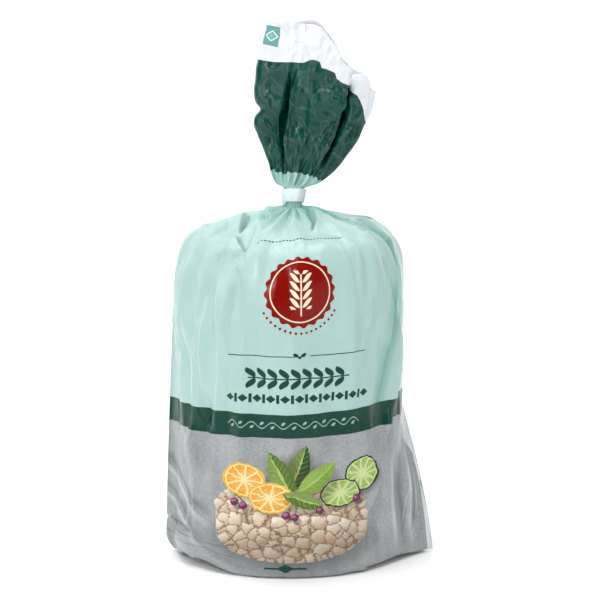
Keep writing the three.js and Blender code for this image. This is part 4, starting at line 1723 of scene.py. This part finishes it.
# %% [markdown]
# ## The cloth under the cake
# The linen field is printed as a creased cloth. A crease is a thin line, dark on its one side and
# pale on the other, which fades towards its ends. Two rows of stitches follow the hem.

# %% Creases and hems of the cloth
STITCH_INK = ink(88, 90, 90)
cloth_shade, cloth_light = ink(84, 88, 91), ink(206, 211, 212)


def between(low, high):
    """1 half way between two heights of the film, falling to 0 at both."""
    return beside(v - (low + high) / 2, (high - low) / 2)


for rise, bend, start in ((8.0, 0.006, -58), (12.0, 0.008, -54)):
    line = v - rise - (u - start).least(0) * (u - start) * bend
    stitched = (abs(line) < 0.16) & (u.repeat(1.1) > -0.3)
    ground.lay(STITCH_INK, stitched & (u < -24) & (v < BAND_BOTTOM) & (u > -90))

hem = u - 58 - (v - 4) * 0.16 - (v * 0.12).sine() * 1.2
off_cake = ((abs(u) - 34) / 14).clamp()
for line, reach, low, high in (
    (hem, 7.0, 3, 50),
    (u - bent_line(v, (0, 74), (14, 71), (30, 75), (52, 73)), 5.0, 5, 46),
    (v - bent_line(u, (-88, 34), (-74, 27), (-62, 22), (-48, 12), (-30, 7)), 6.0, 2, 40),
    (v - bent_line(u, (-88, 50), (-76, 41), (-66, 37), (-54, 27), (-40, 22)), 7.0, 12, 58),
):
    here = (between(low, high) * 1.6).least(1) * off_cake
    ground.lay(cloth_shade, beside(line - reach / 2, reach / 2) * 0.6 * here)
    ground.lay(cloth_light, beside(line + reach / 3, reach / 3) * 0.5 * here)
    ground.lay(cloth_shade, beside(line, 0.35) * 0.7 * here)

foot_x, foot_y = abs(u + 1.5), abs(v - 4.6)
ground.lay(DARK_GREEN, (foot_x * 0.5 + foot_y < 1.9) | ((foot_y < 0.4) & (foot_x < 9)))
print("with the cloth the print uses", len(Field.tree.nodes), "nodes")

# %% [markdown]
# ## Back panel and weld
# The back has a plain pale panel with thin rules. Along the right weld a few millimetres of the
# film are pale grey, widest just below the dark band.

# %% Back panel and weld
panel_x, panel_y = abs(u - 2 * FLAT_RIGHT), abs(v - 98)
ground.lay(ink(214, 228, 222), (panel_x < 27) & (panel_y < 19))
ground.lay(DARK_GREEN, (abs(v.repeat(4.4)) < 0.14) & (panel_x < 24) & (panel_y < 16.5))
weld_width = (9.0 - abs(v - 57) * 0.6).most(0) + (1.4 - v * 0.05).most(0) + 1.3
ground.lay(WELD, (u > FLAT_RIGHT - weld_width) & (u < FLAT_RIGHT + 2.5) & (v < 68))
print("the right weld is at u", round(FLAT_RIGHT, 1))

# %% [markdown]
# ## Painted highlights on creases
# Pale lines painted along some creases stand in for the light that the creases catch. Each line
# follows a bent path up the film, and fades at both ends.

# %% Painted highlights on creases
CREASE_HIGHLIGHTS = (  # (v, u) pairs of the path, from and to which v it shows, and how strongly
    (((0, 60), (16, 64.5), (24, 68), (30, 72), (36, 76)), 14, 40, 0.35),
    (((0, 66), (8, 69), (14, 74), (22, 77.5), (33, 80)), 8, 37, 0.35),
    (((60, -48.6), (72, -50), (104, -55), (112, -56.5)), 72, 110, 0.5),
    (((60, -33), (78, -33.5), (100, -32), (118, -34)), 70, 116, 0.3),
    (((60, -47), (84, -44), (118, -42), (128, -43)), 76, 124, 0.25),
)
for points, low, high, strength in CREASE_HIGHLIGHTS:
    shown = beside(u - bent_line(v, *points), 0.6) * strength * (between(low, high) * 3).least(1)
    # Painted highlight: a pale line along the crease.
    ground.lay(ink(226, 236, 236), shown)
print(len(CREASE_HIGHLIGHTS), "whitened creases")

# %% [markdown]
# ## Facets and mark of the fan
# Crumpled film has flat facets, and each sends back its own share of light. Here that light is
# painted: cells of a Voronoi texture, stretched like the gathered film, lighten some facets as a
# painted sheen, and their edges are painted as pale crease highlights on the green and as grey
# crease shade on the white edge. On the white edge there is one plain diamond on a teal field,
# the only mark of the fan.

# %% Facets and mark of the fan
FACET_SIZE = 10.0  # mm across the fan
MARK_U, MARK_V = -64.0, FILM_AT_MOUTH - 5.2
facet_place = place_of(
    u * (FAN_SQUEEZE / FACET_SIZE) + v * (0.3 / FACET_SIZE),
    v * (0.42 / FACET_SIZE),
)
(facet_edge,) = voronoi(facet_place, "DISTANCE_TO_EDGE", "Distance")
(facet_colour,) = voronoi(facet_place, "F1", "Color")
above_collar = ((v - GREEN_FROM + 2) / 6).clamp()
# Painted sheen: some facet cells are lightened as if they reflected a lamp.
facet_sheen_painted = ((parts_of(facet_colour)[0] - 0.55) * 2.4).clamp() * 0.13 * above_collar
ground.lay(ink(88, 124, 116), facet_sheen_painted * (v < WHITE_FROM))
# Painted light and shade on the crease lines: pale highlights on the green, grey shade on the white
# edge.
crease_light_and_shade = beside(Field(facet_edge), 0.03) * 0.5 * above_collar
ground.lay(ink(120, 156, 146), crease_light_and_shade * 0.25 * (v < WHITE_FROM))
ground.lay(ink(190, 197, 207), crease_light_and_shade * (v > WHITE_FROM))
mark_y = v - MARK_V + (u - MARK_U) * 0.04
mark_x = u - MARK_U - mark_y * 0.1
ground.lay(TEAL, (abs(mark_x) < 8.5) & (abs(mark_y) < 4.3))
ground.lay(WHITE_FILM, abs(abs(mark_x) * 0.36 + abs(mark_y) - 2.2) < 0.33)
print("the mark is", round(FILM_AT_MOUTH - MARK_V, 1), "mm below the cut edge")

# %% [markdown]
# ## The finish of the film
# Printed polypropylene is smooth but never flat, so its gloss is broad and soft. A faint bump of
# tiny creases breaks the highlights. Colour, bump and a little roughness come from nodes, and
# everything that is the same all over is set on the shader itself. The fan has a copy of the
# material with more gloss, because its taut facets reflect the lamps more sharply.

# %% Film shader
BODY_GLOSS, FAN_GLOSS = 0.21, 0.33


def add_bump(shader, height, strength, distance):
    bump = node("ShaderNodeBump")
    bump.inputs["Strength"].default_value = strength
    bump.inputs["Distance"].default_value = distance
    feed(bump.inputs["Height"], height)
    feed(shader.inputs["Normal"], bump.outputs["Normal"])


shader = Field.tree.nodes["Principled BSDF"]
feed(shader.inputs["Base Color"], ground.colour)
feed(shader.inputs["Roughness"], noise(0.6, 2) * 0.08 + 0.18)
shader.inputs["Specular IOR Level"].default_value = BODY_GLOSS
add_bump(shader, noise(0.9, 3, (1, 0.3), seed=3), 0.06, 0.0012)
print("film print uses", len(Field.tree.nodes), "nodes")

fan_film = film.copy()
fan_film.name = "printed_film_of_fan"
fan_film.node_tree.nodes["Principled BSDF"].inputs["Specular IOR Level"].default_value = FAN_GLOSS

# %% [markdown]
# ## Paper and clear film
# The paper of the tape has a fine noise as its fibres, in colour and in a faint bump. The clear
# weld strips are partly see-through by alpha, which a plate this thin needs instead of glass.

# %% Paper and clear film
FIBRES_PER_METRE = 900
paper = bpy.data.materials.new("tape_paper")
paper.use_nodes = True
Field.tree = paper.node_tree
paper_shader = Field.tree.nodes["Principled BSDF"]
fibres = node("ShaderNodeTexNoise")
fibres.inputs["Scale"].default_value = FIBRES_PER_METRE
fibres.inputs["Detail"].default_value = 4
feed(fibres.inputs["Vector"], node("ShaderNodeTexCoord").outputs["Object"])
tone = shade_between(Field(fibres.outputs["Fac"]), ink(206, 222, 224), ink(232, 242, 243))
feed(paper_shader.inputs["Base Color"], tone)
paper_shader.inputs["Roughness"].default_value = 0.75
add_bump(paper_shader, fibres.outputs["Fac"], 0.25, 0.0002)

clear = bpy.data.materials.new("clear_film")
clear.use_nodes = True
clear_shader = clear.node_tree.nodes["Principled BSDF"]
clear_shader.inputs["Base Color"].default_value = (0.86, 0.9, 0.9, 1)
clear_shader.inputs["Roughness"].default_value = 0.25
clear_shader.inputs["Alpha"].default_value = 0.45
print("paper uses", len(Field.tree.nodes), "nodes")

# %% [markdown]
# ## Finishing
# Each piece gets its material, and the node of the packed model that it stands in for is hidden,
# so that the plain solid is gone and the film is shown in its place.

# %% Finish the pieces
for piece, material, node_name, slot_name in (
    (body, film, "film_bag", "printed_film"),
    (fan, fan_film, "film_bag", "printed_film"),
    (right_strip, clear, "film_bag", "printed_film"),
    (left_strip, clear, "film_bag", "printed_film"),
    (tape, paper, "closure_tape", "paper_tape"),
    (lap, paper, "closure_tape", "paper_tape"),
):
    piece.data.materials.append(material)
    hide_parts(node_name)
    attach(piece, "root")
    print(piece.name, "stands in for", node_name)

# %% [markdown]
# ## Sizes
# Real film bulges a little beyond the plain solid that stands in for it, by a few millimetres.
# The two boxes show by how much.

# %% Sizes
visual_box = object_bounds()
for name, box in (("CAD", cad_box), ("visual", visual_box)):
    print(name, "box", [np.round(np.array(c) / MM, 1).tolist() for c in box])
